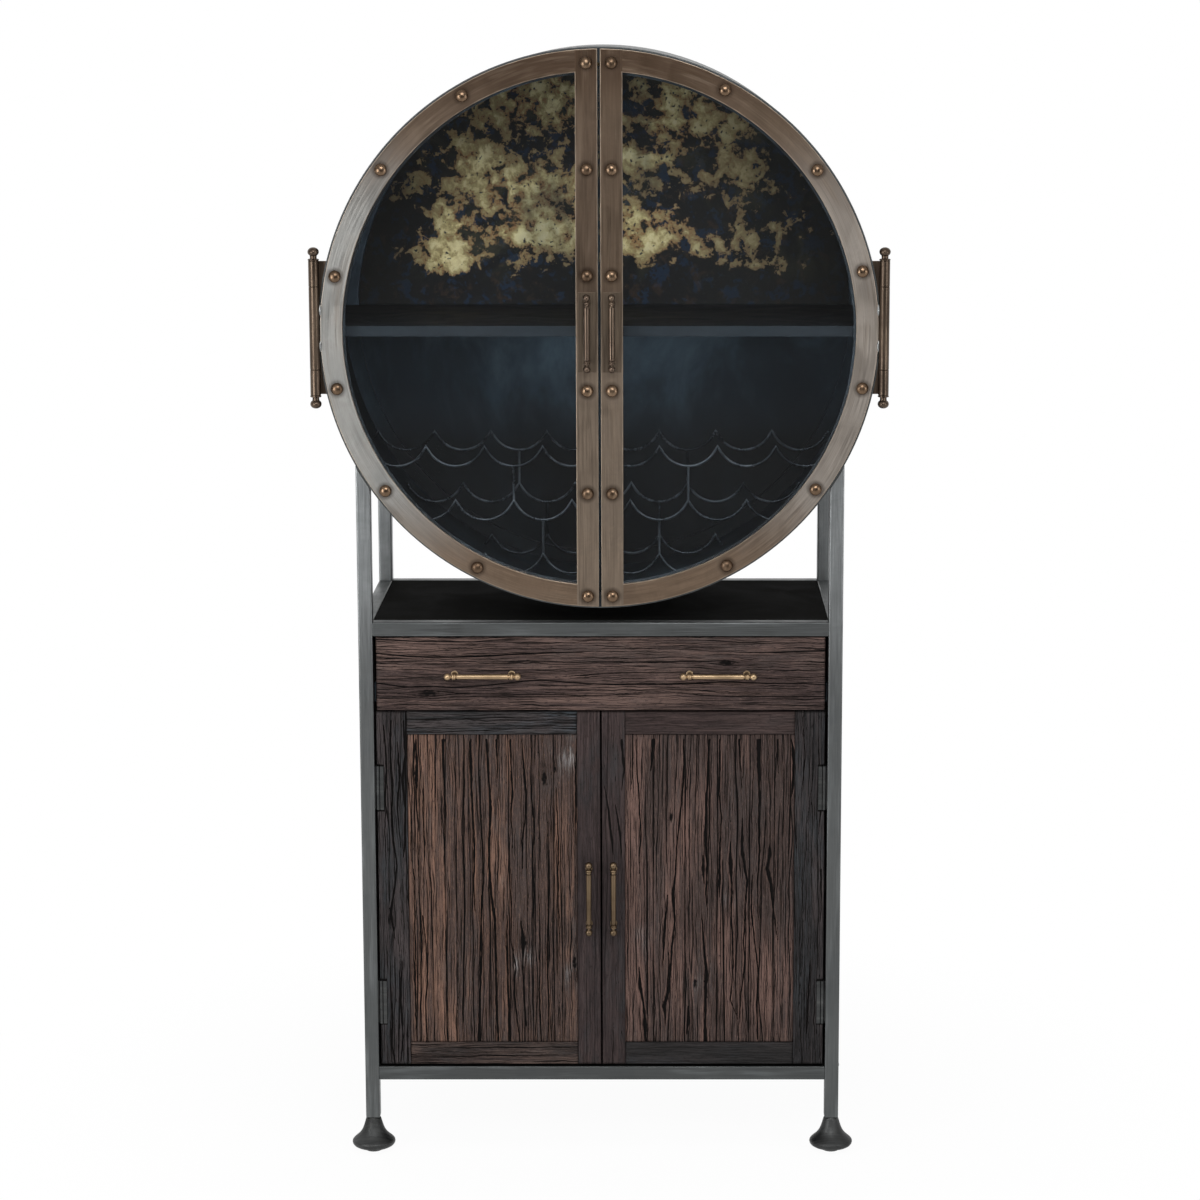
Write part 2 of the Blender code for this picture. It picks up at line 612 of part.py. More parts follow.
def wire_tool(points):
    """Return a loose round wire along points."""
    curve = bpy.data.curves.new("wire", "CURVE")
    curve.dimensions = "3D"
    curve.bevel_depth = WIRE_RADIUS
    curve.bevel_resolution = 1
    curve.use_fill_caps = True
    path = curve.splines.new("POLY")
    path.points.add(len(points) - 1)
    for spot, point in zip(path.points, points):
        spot.co = (*point, 1.0)
    holder = bpy.data.objects.new("wire", curve)
    bpy.context.collection.objects.link(holder)
    bpy.context.view_layer.update()
    mesh = bpy.data.meshes.new_from_object(holder.evaluated_get(bpy.context.evaluated_depsgraph_get()))
    bpy.data.objects.remove(holder)
    bpy.data.curves.remove(curve)
    mesh.shade_smooth()
    mesh.set_sharp_from_angle(angle=math.radians(65))
    wire = bpy.data.objects.new("tool", mesh)
    bpy.context.collection.objects.link(wire)
    return wire


def rack_crest(row):
    """Return the height of a row's crests, with row 0 at the top."""
    trough = DRUM_CENTRE - DRUM_INSIDE + RACK_RISE + (RACK_ROWS - 1 - row) * RACK_ROW_PITCH
    return trough + RACK_SAG


def rack_row(y, row):
    """Return one scalloped wire, long enough to be cut to the drum's wall."""
    phase = 0.5 * (row % 2)
    crest = rack_crest(row)
    wire_step = RACK_PITCH / WIRE_STEPS
    count = math.ceil(DRUM_RADIUS / wire_step)
    points = []
    for index in range(-count, count + 1):
        x = index * wire_step
        z = crest - scallop(x, phase)
        if math.hypot(x, z - DRUM_CENTRE) < DRUM_INSIDE + 2 * wire_step:
            points.append((x, y, z))
    return wire_tool(points)


def rack_struts(y, row, head):
    """Return the two struts that hang a row's crests at a height below the row above."""
    strut_x = RACK_PITCH * (1.5 if row % 2 else 1.0)
    foot = rack_crest(row) - RACK_SAG * CREST_DROP
    return [wire_tool([(side * strut_x, y, foot), (side * strut_x, y, head)]) for side in (-1, 1)]


def build_racks():
    """Front and rear wire racks: three staggered rows of scallops, joined by struts."""
    for place, setback in (("front", FRONT_RACK_SETBACK), ("rear", REAR_RACK_SETBACK)):
        y = FRONT + setback
        top = finish_piece(rack_row(y, 0), f"{place}_rack_top_row", "slate_steel")
        lower = finish_piece(rack_row(y, 1), f"{place}_rack_lower_rows", "slate_steel")
        struts = rack_struts(y, 1, rack_crest(0) - RACK_SAG - WIRE_RADIUS - SEAT)
        struts += rack_struts(y, 2, rack_crest(1) - RACK_SAG)
        for tool in [rack_row(y, 2)] + struts:
            combine(lower, tool, "UNION")
        for rows in (top, lower):
            combine(rows, drum_disc(DRUM_INSIDE - SEAT, FRONT, FRAME_DEPTH), "INTERSECT")


def half_ring(side, radius, edge, y, steps=DRUM_STEPS // 2):
    """Return a D outline: an arc of that radius, closed by a straight side at edge from the middle."""
    start = math.asin(edge / radius)
    turn = [start + (math.pi - 2 * start) * index / steps for index in range(steps + 1)]
    return [(side * radius * math.sin(a), y, DRUM_CENTRE + radius * math.cos(a)) for a in turn]


def knuckle_tool(side, low, high, radius=HINGE_RADIUS):
    """Return a loose rod on a drum hinge's axis, between two heights from the hinge's middle."""
    place = Matrix.Translation((side * HINGE_X, HINGE_Y, HINGE_Z))
    return turned_tool(rod_profile(radius, low, high), HINGE_STEPS, place)


def weld_tool(side, height):
    """Return a bead of weld between the middle knuckle and the door ring."""
    shape = bmesh.new()
    edge = math.sqrt(RING_RADIUS ** 2 - (HINGE_RISE + height) ** 2)
    x = side * (edge + HINGE_X - HINGE_RADIUS) / 2
    stretch = Matrix.Diagonal((1.0, 0.8, WELD_LENGTH / (2 * WELD_RADIUS), 1.0))
    place = Matrix.Translation((x, HINGE_Y, HINGE_Z + height)) @ stretch
    bmesh.ops.create_uvsphere(shape, u_segments=8, v_segments=6, radius=WELD_RADIUS, matrix=place)
    return new_tool(shape, smooth=True)


def build_drum_hinge(side_name, side):
    """The fixed leaf with its two outer knuckles, and the pin with ball finials."""
    outside = HINGE_X + HINGE_RADIUS
    leaf_face = HINGE_Y + HINGE_RADIUS + SEAT
    half = MIDDLE_KNUCKLE / 2 + SEAT
    end = half + OUTER_KNUCKLE
    leaf_end = end - KNUCKLE_STEP
    weld_line = DRUM_RADIUS + SEAT
    head = math.asin((HINGE_RISE + leaf_end) / weld_line)
    foot = math.asin((HINGE_RISE - leaf_end) / weld_line)
    steps = 8
    turn = [head + (foot - head) * index / steps for index in range(steps + 1)]
    edge = [(side * weld_line * math.cos(a), leaf_face, DRUM_CENTRE + weld_line * math.sin(a)) for a in turn]
    corners = [(side * outside, leaf_face, HINGE_Z + way * leaf_end) for way in (-1, 1)]
    shape = bmesh.new()
    add_prism(shape, edge + corners, (0, HINGE_LEAF, 0))
    leaf = new_piece(f"{side_name}_hinge_leaf", shape, "aged_bronze", smooth=True)
    for way in (-1, 1):
        low, high = sorted((way * half, way * end))
        knuckle = knuckle_tool(side, low, high)
        web = box_tool((side * (HINGE_X + HINGE_RADIUS / 2), HINGE_Y + HINGE_RADIUS / 4,
                        HINGE_Z + low + 2 * KNUCKLE_STEP),
                       (side * (HINGE_X - HINGE_RADIUS / 2), leaf_face + HINGE_LEAF / 2,
                        HINGE_Z + high - 2 * KNUCKLE_STEP))
        combine(knuckle, web, "UNION")
        combine(leaf, knuckle, "UNION")
    bore = HINGE_PIN_RADIUS + PIN_PLAY
    combine(leaf, knuckle_tool(side, -end - SEAT, end + SEAT, bore), "DIFFERENCE")

    collar = end + SEAT
    neck = collar + HINGE_RADIUS * 0.45
    ball = neck + FINIAL_RADIUS * 0.9
    ends = [(HINGE_RADIUS, collar), (HINGE_RADIUS * 1.08, (collar + neck) / 2), (HINGE_RADIUS * 0.62, neck)]
    for angle in (-35, 0, 35, 65, 90):
        turn = math.radians(angle)
        ends.append((FINIAL_RADIUS * math.cos(turn), ball + FINIAL_RADIUS * math.sin(turn)))
    ends[-1] = (0.0, ends[-1][1])
    top = [(HINGE_PIN_RADIUS, collar)] + ends
    profile = [(radius, -height) for radius, height in reversed(top)] + top
    place = Matrix.Translation((side * HINGE_X, HINGE_Y, HINGE_Z))
    finish_piece(turned_tool(profile, HINGE_STEPS, place), f"{side_name}_hinge_pin", "aged_bronze")


def rivet_spots(side):
    """Return the places of a door's rivets in the XZ plane."""
    circle = RING_RADIUS - RIVET_INSET
    spots = []
    for index in range(ARC_RIVETS):
        angle = math.radians(RIVET_FIRST_ANGLE + index * RIVET_ANGLE_STEP)
        spots.append((side * circle * math.sin(angle), DRUM_CENTRE + circle * math.cos(angle)))
    x = side * (STILE_EDGE + RING_BAR / 2)
    for index in range(STILE_RIVETS):
        height = (RING_RADIUS - RIVET_STILE_INSET) * (1 - 2 * index / (STILE_RIVETS - 1))
        spots.append((x, DRUM_CENTRE + height))
    return spots


def rivet_tool(side):
    """Return a door's domed rivet heads, sunk a little into the steel, as one loose shape."""
    dome = [(0.0, -RIVET_ROOT), (RIVET_RADIUS, -RIVET_ROOT)]
    for angle in (0, 50, 90):
        turn = math.radians(angle)
        dome.append((RIVET_RADIUS * math.cos(turn), RIVET_HEIGHT * math.sin(turn)))
    dome[-1] = (0.0, RIVET_HEIGHT)
    shape = bmesh.new()
    for x, z in rivet_spots(side):
        place = Matrix.Translation((x, RING_FACE, z)) @ Matrix.Rotation(math.pi / 2, 4, "X")
        add_turned(shape, dome, RIVET_STEPS, place)
    return new_tool(shape, smooth=True)


def build_drum_door(side_name, side):
    """One half of the round door: steel ring and stile, glass, bead, rivets and handle."""
    pivot = new_pivot(f"{side_name}_drum_door_pivot", (side * HINGE_X, HINGE_Y, DRUM_CENTRE))
    inside = RING_RADIUS - RING_BAR
    shape = bmesh.new()
    add_frame_plate(shape, half_ring(side, RING_RADIUS, STILE_EDGE, RING_FACE),
                    half_ring(side, inside, STILE_INNER, RING_FACE), (0, RING_THICKNESS, 0))
    ring = new_piece(f"{side_name}_drum_ring", shape, "aged_bronze", smooth=True)
    combine(ring, rivet_tool(side), "UNION")
    half = MIDDLE_KNUCKLE / 2
    combine(ring, knuckle_tool(side, -half, half), "UNION")
    for way in (-1, 1):
        combine(ring, weld_tool(side, way * WELD_SPACING / 2), "UNION")
    bore = HINGE_PIN_RADIUS + PIN_PLAY
    combine(ring, knuckle_tool(side, -half - SEAT, half + SEAT, bore), "DIFFERENCE")
    hang(ring, pivot)

    glass_face = RING_BACK + SEAT
    glass_radius = inside + GLASS_LAP
    glass_edge = STILE_INNER - GLASS_LAP
    shape = bmesh.new()
    add_prism(shape, half_ring(side, glass_radius, glass_edge, glass_face), (0, GLASS_THICKNESS, 0))
    hang(new_piece(f"{side_name}_drum_glass", shape, "clear_glass", smooth=True), pivot)

    bead_face = glass_face + GLASS_THICKNESS + SEAT
    shape = bmesh.new()
    add_frame_plate(shape, half_ring(side, glass_radius, glass_edge, bead_face),
                    half_ring(side, glass_radius - BEAD_WIDTH, glass_edge + BEAD_WIDTH, bead_face),
                    (0, BEAD_THICKNESS, 0))
    hang(new_piece(f"{side_name}_glass_bead", shape, "slate_steel", smooth=True), pivot)

    handle = bar_handle(f"{side_name}_drum_handle", DRUM_GRIP_RADIUS, plate=True)
    spot = Vector((side * (STILE_EDGE + RING_BAR / 2), RING_FACE - SEAT, DRUM_CENTRE - DRUM_HANDLE_DROP))
    handle.location = spot - pivot.location
    handle.parent = pivot


def bar_handle(name, radius, plate):
    """Return a turned bar with ball ends on two posts, upright, its mounting face at local y = 0."""
    back = HANDLE_PLATE_THICKNESS if plate else 0.0
    reach = back + GRIP_REACH
    half = GRIP_LENGTH / 2
    ball = GRIP_BALL_RADIUS
    profile = []
    for way, thick in ((-1, radius - GRIP_TAPER), (1, radius)):
        end = [(0.0, half)]
        for angle in (50, 0, -40):
            turn = math.radians(angle)
            end.append((ball * math.cos(turn), half - ball + ball * math.sin(turn)))
        neck = half - 1.9 * ball
        collar = neck - 0.0036
        end += [(thick * 0.62, neck), (thick * 1.05, neck - 0.0012), (thick * 1.05, collar),
                (thick, collar - 0.0015)]
        points = [(r, way * z) for r, z in end]
        profile += points if way < 0 else list(reversed(points))
    handle = turned_tool(profile, GRIP_STEPS, Matrix.Translation((0, -reach, 0)))
    finish_piece(handle, name, "aged_brass")
    lean = Matrix.Rotation(math.pi / 2, 4, "X")
    for way in (-1, 1):
        place = Matrix.Translation((0, 0, way * GRIP_POST_SPACING / 2)) @ lean
        post = turned_tool(rod_profile(GRIP_POST_RADIUS, back / 2, reach), GRIP_STEPS, place)
        combine(handle, post, "UNION")
    if plate:
        tool = box_tool((-HANDLE_PLATE_WIDTH / 2, -back, -HANDLE_PLATE_LENGTH / 2),
                        (HANDLE_PLATE_WIDTH / 2, 0, HANDLE_PLATE_LENGTH / 2))
        combine(handle, tool, "UNION")
    return handle


def butt_heights():
    """Return the middle heights of a cupboard door's two hinges."""
    return (DOOR_FOOT + BUTT_FOOT_INSET + BUTT_LENGTH / 2, DOOR_TOP - BUTT_INSET - BUTT_LENGTH / 2)


def door_leaf(name, side, height):
    """Return the hinge leaf fixed to a door's edge, with its middle knuckle."""
    third = BUTT_LENGTH / 3
    low, high = height - BUTT_LENGTH / 2, height + BUTT_LENGTH / 2
    seat = HALF_BAY - DOOR_HINGE_GAP + SEAT
    leaf_front = BUTT_Y + BUTT_RADIUS + SEAT
    place = Matrix.Translation((side * BUTT_X, BUTT_Y, 0))
    leaf = box_tool((side * seat, leaf_front, low),
                    (side * (seat + BUTT_LEAF), leaf_front + BUTT_LEAF_DEPTH, high))
    web = box_tool((side * seat, BUTT_Y + BUTT_RADIUS / 4, low + third + KNUCKLE_STEP),
                   (side * (seat + BUTT_LEAF), leaf_front + BUTT_LEAF, high - third - KNUCKLE_STEP))
    combine(leaf, web, "UNION")
    knuckle = rod_profile(BUTT_RADIUS, low + third, high - third)
    combine(leaf, turned_tool(knuckle, BUTT_STEPS, place), "UNION")
    bore = rod_profile(BUTT_PIN_RADIUS + PIN_PLAY, low, high)
    combine(leaf, turned_tool(bore, BUTT_STEPS, place), "DIFFERENCE")
    return finish_piece(leaf, name, "cast_iron")


def grooved_section(outer, inner):
    """Return a board's section from its plain edge to its grooved edge, with y running back."""
    back = FACE + DOOR_THICKNESS
    groove_front = FACE + DOOR_PANEL_SETBACK - SEAT
    groove_back = groove_front + DOOR_PANEL_THICKNESS + 2 * SEAT
    way = 1 if outer > inner else -1
    floor = inner + way * (PANEL_GROOVE + SEAT)
    return [(outer, FACE), (inner, FACE), (inner, groove_front), (floor, groove_front),
            (floor, groove_back), (inner, groove_back), (inner, back), (outer, back)]


def build_cupboard_door(side_name, side):
    """One frame-and-panel door with its hinge leaves and handle."""
    pivot = new_pivot(f"{side_name}_cupboard_door_pivot", (side * BUTT_X, BUTT_Y, DOOR_FOOT))
    outer = HALF_BAY - DOOR_HINGE_GAP
    inner = DOOR_MEETING_GAP / 2
    panel_outer = outer - HINGE_STILE
    panel_inner = inner + MEETING_STILE
    panel_foot = DOOR_FOOT + DOOR_RAIL
    panel_top = DOOR_TOP - DOOR_RAIL
    boards = []
    for plain, grooved in ((outer, panel_outer), (inner, panel_inner)):
        section = [(side * u, y, DOOR_FOOT) for u, y in grooved_section(plain, grooved)]
        boards.append((section, (0, 0, DOOR_HEIGHT)))
    tenon = PANEL_GROOVE + 2 * SEAT
    rail_start = side * (panel_inner - tenon)
    rail_run = side * (panel_outer - panel_inner + 2 * tenon)
    for plain, grooved in ((DOOR_FOOT, panel_foot), (DOOR_TOP, panel_top)):
        section = [(rail_start, y, z) for z, y in grooved_section(plain, grooved)]
        boards.append((section, (rail_run, 0, 0)))
    joined = []
    for section, run in boards:
        shape = bmesh.new()
        add_prism(shape, section, run)
        joined.append(new_tool(shape))
    frame = finish_piece(joined[0], f"{side_name}_door_frame", "frame_wood")
    for board in joined[1:]:
        combine(frame, board, "UNION")
    for height in butt_heights():
        reach = BUTT_LENGTH / 2 + BUTT_CLEARANCE
        notch = box_tool((side * (outer + DOOR_HINGE_GAP), FACE - DOOR_HINGE_GAP, height - reach),
                         (side * (BUTT_X - BUTT_RADIUS - BUTT_CLEARANCE),
                          BUTT_Y + BUTT_RADIUS + BUTT_CLEARANCE, height + reach))
        combine(frame, notch, "DIFFERENCE")
    hang(frame, pivot)

    shape = bmesh.new()
    panel_face = FACE + DOOR_PANEL_SETBACK
    panel_back = panel_face + DOOR_PANEL_THICKNESS
    add_box(shape, (side * (panel_inner - PANEL_GROOVE), panel_face, panel_foot - PANEL_GROOVE),
            (side * (panel_outer + PANEL_GROOVE), panel_back, panel_top + PANEL_GROOVE))
    hang(new_piece(f"{side_name}_door_panel", shape, "panel_wood"), pivot)
    for level, height in zip(("lower", "upper"), butt_heights()):
        hang(door_leaf(f"{side_name}_{level}_door_leaf", side, height), pivot)

    handle = bar_handle(f"{side_name}_door_handle", GRIP_RADIUS, plate=False)
    spot = Vector((side * (inner + MEETING_STILE / 2), FACE - SEAT, DOOR_FOOT + DOOR_HANDLE_HEIGHT))
    handle.location = spot - pivot.location
    handle.parent = pivot


def build_drawer():
    """The drawer: front board, sides, back, bottom and two handles."""
    pivot = new_pivot("drawer_pivot", (0, FACE, DRAWER_FOOT))
    shape = bmesh.new()
    half = HALF_BAY - DRAWER_SIDE_GAP
    board_back = FACE + DRAWER_FRONT_THICKNESS
    add_box(shape, (-half, FACE, DRAWER_FOOT), (half, board_back, DRAWER_TOP))
    bmesh.ops.bevel(shape, geom=list(shape.edges), offset=DRAWER_EDGE, segments=1, affect="EDGES")
    hang(new_piece("drawer_front", shape, "drawer_wood"), pivot)

    box_half = HALF_BAY - RUNNER_GAP
    front = board_back + SEAT
    back = front + DRAWER_BOX_LENGTH
    foot = DRAWER_FOOT + DRAWER_LIFT
    shape = bmesh.new()
    add_box(shape, (-box_half, front, foot), (box_half, back, foot + DRAWER_BOX_HEIGHT))
    box = new_piece("drawer_box", shape, "plain_wood")
    room = box_tool((-box_half + DRAWER_BOARD, front + DRAWER_BOARD, foot + DRAWER_BOTTOM),
                    (box_half - DRAWER_BOARD, back - DRAWER_BOARD, foot + 2 * DRAWER_BOX_HEIGHT))
    combine(box, room, "DIFFERENCE")
    hang(box, pivot)

    middle = (DRAWER_FOOT + DRAWER_TOP) / 2
    for side_name, side in (("left", -1), ("right", 1)):
        pull = bar_handle(f"{side_name}_drawer_handle", GRIP_RADIUS, plate=False)
        pull.rotation_euler = (0, math.pi / 2, 0)
        pull.location = Vector((side * DRAWER_HANDLE_SPREAD, FACE - SEAT, middle)) - pivot.location
        pull.parent = pivot


def build_cabinet():
    """Build every piece of the cabinet."""
    clear_scene()
    build_posts()
    build_rails()
    build_feet()
    build_case()
    build_runners()
    build_drum()
    build_racks()
    build_drawer()
    for side_name, side in (("left", -1), ("right", 1)):
        build_drum_hinge(side_name, side)
        build_drum_door(side_name, side)
        build_cupboard_door(side_name, side)


build_cabinet()
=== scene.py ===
"""Looks of the round bar cabinet: steel frame, glazed drum, drawer and plank doors."""
import json
import math

import bpy
import numpy as np
from mathutils import Matrix, Vector


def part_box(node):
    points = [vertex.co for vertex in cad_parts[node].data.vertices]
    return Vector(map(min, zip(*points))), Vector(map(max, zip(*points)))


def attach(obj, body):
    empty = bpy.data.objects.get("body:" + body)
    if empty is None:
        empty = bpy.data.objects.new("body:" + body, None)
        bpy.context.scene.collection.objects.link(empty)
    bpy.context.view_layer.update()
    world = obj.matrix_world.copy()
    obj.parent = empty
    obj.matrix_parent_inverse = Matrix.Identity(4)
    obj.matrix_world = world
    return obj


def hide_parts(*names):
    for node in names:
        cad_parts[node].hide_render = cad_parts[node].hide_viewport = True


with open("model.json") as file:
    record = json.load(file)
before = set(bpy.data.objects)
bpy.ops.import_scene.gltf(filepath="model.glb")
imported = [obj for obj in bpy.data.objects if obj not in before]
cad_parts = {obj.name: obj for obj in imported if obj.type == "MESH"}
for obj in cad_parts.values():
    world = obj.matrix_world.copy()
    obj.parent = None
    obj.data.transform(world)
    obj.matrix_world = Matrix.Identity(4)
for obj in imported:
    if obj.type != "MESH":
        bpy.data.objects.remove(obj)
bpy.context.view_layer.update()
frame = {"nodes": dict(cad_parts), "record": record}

# Places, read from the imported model
SHELL_LOW, SHELL_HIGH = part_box("drum_shell")
FRONT, BACK = SHELL_LOW.y, SHELL_HIGH.y
DRUM_RADIUS = (SHELL_HIGH.x - SHELL_LOW.x) / 2
CENTRE = (SHELL_LOW.z + SHELL_HIGH.z) / 2
STILE_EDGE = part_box("right_drum_ring")[0].x
HOOP_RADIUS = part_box("drum_front_hoop")[1].x
PAN_LOW, PAN_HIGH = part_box("drum_back_pan")
MIRROR_LOW, MIRROR_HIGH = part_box("antique_mirror")
DRAWER_LOW, DRAWER_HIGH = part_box("drawer_front")
PIN_LOW, PIN_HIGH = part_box("right_hinge_pin")

# Sizes in metres
TUBE = 0.025
SHELL_WALL = 0.002
HOOP_WIDTH = 0.025
RING_RADIUS = DRUM_RADIUS - 0.0035
RING_BAR = 0.038
RING_THICKNESS = 0.006
RING_FACE = FRONT - 0.002 - RING_THICKNESS
HINGE_X = RING_RADIUS + 0.0095
HINGE_Y = FRONT - 0.0065
HINGE_Z = (PIN_LOW.z + PIN_HIGH.z) / 2
BARREL = 0.009           # radius of the drum hinges' knuckles
MIDDLE_KNUCKLE = 0.071   # half its length
BUTT_X, BUTT_Y = 0.3925, FRONT + 0.0035   # axis of the cupboard doors' hinges
WIRE_RADIUS = 0.0022
RACK_PITCH, RACK_SAG, RACK_ROW_PITCH = 0.1025, 0.038, 0.0955
PLATE_HALF = 0.0685      # half the length of a drum handle's plate
DOOR_RAIL = 0.040
AXIS = 0.0001            # radius where a turned profile starts and ends
DRUM_SIDES = 192

# Rivets: degrees from the top, and heights over the drum's centre
RIVET_CIRCLE = RING_RADIUS - 0.0165
RIVET_ANGLES = {"left": (30.1, 53.4, 78.2, 102.3, 126.6, 152.5), "right": (27.6, 53.5, 77.1, 102.2, 126.2, 151.6)}
STILE_RIVETS = (0.4546, 0.276, 0.0957, -0.102, -0.2805, -0.4605)

SIDES = (("left", -1), ("right", 1))
LEVELS = (("lower", -1), ("upper", 1))
CORNERS = [(depth_name, *side) for depth_name in ("front", "rear") for side in SIDES]
SLOT_OF = {part["node"]: part["material_slot"] for part in frame["record"]["subparts"]}


# Modelling helpers

def middle(node):
    """The middle of a CAD node's box."""
    low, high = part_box(node)
    return [(a + b) / 2 for a, b in zip(low, high)]


def span(side, one, two):
    """Two distances from the middle, on one side, in rising order."""
    return sorted((side * one, side * two))


def deselect():
    if bpy.context.mode != "OBJECT":
        bpy.ops.object.mode_set(mode="OBJECT")
    bpy.ops.object.select_all(action="DESELECT")


def work_on(piece):
    deselect()
    piece.select_set(True)
    bpy.context.view_layer.objects.active = piece


def open_piece(piece, kind="FACE", action="SELECT"):
    """Go into edit mode on one piece."""
    work_on(piece)
    bpy.ops.object.mode_set(mode="EDIT")
    bpy.ops.mesh.select_mode(type=kind)
    bpy.ops.mesh.select_all(action=action)


def close_piece():
    bpy.ops.object.mode_set(mode="OBJECT")


def named(name):
    """Name the piece that an operator has just added or joined."""
    piece = bpy.context.object
    piece.name = name
    piece.data.name = name
    return piece


def settled(name):
    """Name the new piece and put its place into its mesh."""
    piece = named(name)
    work_on(piece)
    bpy.ops.object.transform_apply(location=True, rotation=True, scale=True)
    return piece


def apply_all(piece):
    work_on(piece)
    for modifier in list(piece.modifiers):
        bpy.ops.object.modifier_apply(modifier=modifier.name)


def round_edges(piece, width, segments=2, angle=35):
    bevel = piece.modifiers.new("rounded", "BEVEL")
    bevel.width = width
    bevel.segments = segments
    bevel.limit_method = "ANGLE"
    bevel.angle_limit = math.radians(angle)
    apply_all(piece)


def soften(piece, angle=40, flat=False):
    """Shade smooth up to that angle between faces; flat keeps wide faces flat beside rounded edges."""
    work_on(piece)
    bpy.ops.object.shade_smooth_by_angle(angle=math.radians(angle))
    if flat:
        even = piece.modifiers.new("even", "WEIGHTED_NORMAL")
        even.keep_sharp = True
        even.weight = 100
        apply_all(piece)


def smooth_plate(piece, rounding=0.0006):
    """Round a plate's edges, unless rounding is 0, and shade it."""
    if rounding:
        round_edges(piece, rounding, 2, 50)
    soften(piece, 30, True)
    return piece


def face_out(piece):
    """Close seams and turn the faces outwards."""
    open_piece(piece, "VERT")
    bpy.ops.mesh.remove_doubles(threshold=0.00002)
    bpy.ops.mesh.select_all(action="SELECT")
    bpy.ops.mesh.normals_make_consistent(inside=False)
    close_piece()


def slice_up(piece, places, direction):
    """Cut the faces along parallel planes."""
    open_piece(piece)
    for place in places:
        bpy.ops.mesh.select_all(action="SELECT")
        bpy.ops.mesh.bisect(plane_co=place, plane_no=direction)
    close_piece()


def fit(piece, material, body, node=None, slot=None):
    """Give a finished piece its material and body, and hide the CAD node it replaces; the slot is looked up but not
    kept.
    """
    piece.data.materials.clear()
    piece.data.materials.append(material)
    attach(piece, body)
    if node:
        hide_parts(node)
        slot = slot or SLOT_OF[node]


def repaint(node, material):
    """Give a CAD node that keeps its shape a material."""
    materials = frame["nodes"][node].data.materials
    materials.clear()
    materials.append(material)


def paint_some(piece, material, chosen):
    """Give a second material to the faces whose middle is chosen."""
    piece.data.materials.append(material)
    for polygon in piece.data.polygons:
        if chosen(polygon.center):
            polygon.material_index = 1


def block(name, centre, size):
    deselect()
    bpy.ops.mesh.primitive_cube_add(size=1, location=centre, scale=size)
    return settled(name)


def bar(name, low, high, rounding, segments=2):
    """A box-shaped bar or board between two corners, its edges rounded."""
    low, high = Vector(low), Vector(high)
    piece = block(name, (low + high) / 2, high - low)
    round_edges(piece, rounding, segments)
    soften(piece, 40, True)
    return piece


def turned(name, profile, centre=(0, 0, 0), steps=32, angle=35):
    """Spin a profile of (radius, height) points round an upright axis through centre."""
    deselect()
    bpy.ops.mesh.primitive_plane_add(size=0.001, location=centre)
    piece = settled(name)
    open_piece(piece, "VERT")
    bpy.ops.mesh.merge(type="CENTER")
    bpy.ops.mesh.select_all(action="SELECT")
    bpy.ops.transform.translate(value=(profile[0][0], 0, profile[0][1]))
    for (radius, height), (next_radius, next_height) in zip(profile, profile[1:]):
        bpy.ops.mesh.extrude_vertices_move(
            TRANSFORM_OT_translate={"value": (next_radius - radius, 0, next_height - height)})
    bpy.ops.mesh.select_all(action="SELECT")
    bpy.ops.mesh.spin(steps=steps, angle=math.tau, center=centre, axis=(0, 0, 1))
    close_piece()
    face_out(piece)
    soften(piece, angle)
    return piece


def ball(name, segments, rings, **place):
    deselect()
    bpy.ops.mesh.primitive_uv_sphere_add(segments=segments, ring_count=rings, radius=1, **place)
    return settled(name)


def copied(piece, name, matrix):
    """A copy with its own mesh, moved by the matrix."""
    twin = piece.copy()
    twin.data = piece.data.copy()
    twin.name = twin.data.name = name
    bpy.context.collection.objects.link(twin)
    twin.data.transform(matrix)
    return twin


def joined(name, pieces):
    deselect()
    for piece in pieces:
        piece.select_set(True)
    bpy.context.view_layer.objects.active = pieces[0]
    bpy.ops.object.join()
    return named(name)


def drum_sheet(name, radius, y, fill="NGON"):
    """A flat round sheet facing the front."""
    deselect()
    bpy.ops.mesh.primitive_circle_add(vertices=DRUM_SIDES, radius=radius, fill_type=fill, location=(0, y, CENTRE),
                                      rotation=(math.pi / 2, 0, 0))
    return settled(name)


def thicken(piece, depth):
    """Push a flat sheet back into a plate."""
    open_piece(piece)
    bpy.ops.mesh.extrude_region_move(TRANSFORM_OT_translate={"value": (0, depth, 0)})
    close_piece()
    face_out(piece)


def cut_away(piece, place, direction):
    """Remove what lies on the near side of a plane."""
    open_piece(piece)
    bpy.ops.mesh.bisect(plane_co=place, plane_no=direction, use_fill=False, clear_inner=True, clear_outer=False)
    close_piece()


def half_plate(name, side, radius, edge, y, depth, bar_width=None, rounding=0.0006):
    """A half-round plate, or with bar_width a half-round ring, closed by a straight side at edge."""
    piece = drum_sheet(name, radius, y)
    cut_away(piece, (side * edge, y, CENTRE), (side, 0, 0))
    thicken(piece, depth)
    if bar_width:
        opening = drum_sheet("opening", radius - bar_width, y - depth)
        cut_away(opening, (side * (edge + bar_width), y, CENTRE), (side, 0, 0))
        thicken(opening, 3 * depth)
        cut = piece.modifiers.new("opening", "BOOLEAN")
        cut.operation = "DIFFERENCE"
        cut.solver = "EXACT"
        cut.object = opening
        apply_all(piece)
        bpy.data.objects.remove(opening)
    return smooth_plate(piece, rounding)


def ring_plate(name, outside, inside, y, depth):
    """A full round ring facing the front."""
    piece = drum_sheet(name, outside, y)
    open_piece(piece)
    bpy.ops.mesh.inset(thickness=outside - inside, depth=0, use_even_offset=True)
    bpy.ops.mesh.delete(type="FACE")
    close_piece()
    thicken(piece, depth)
    return smooth_plate(piece)


# Node helpers

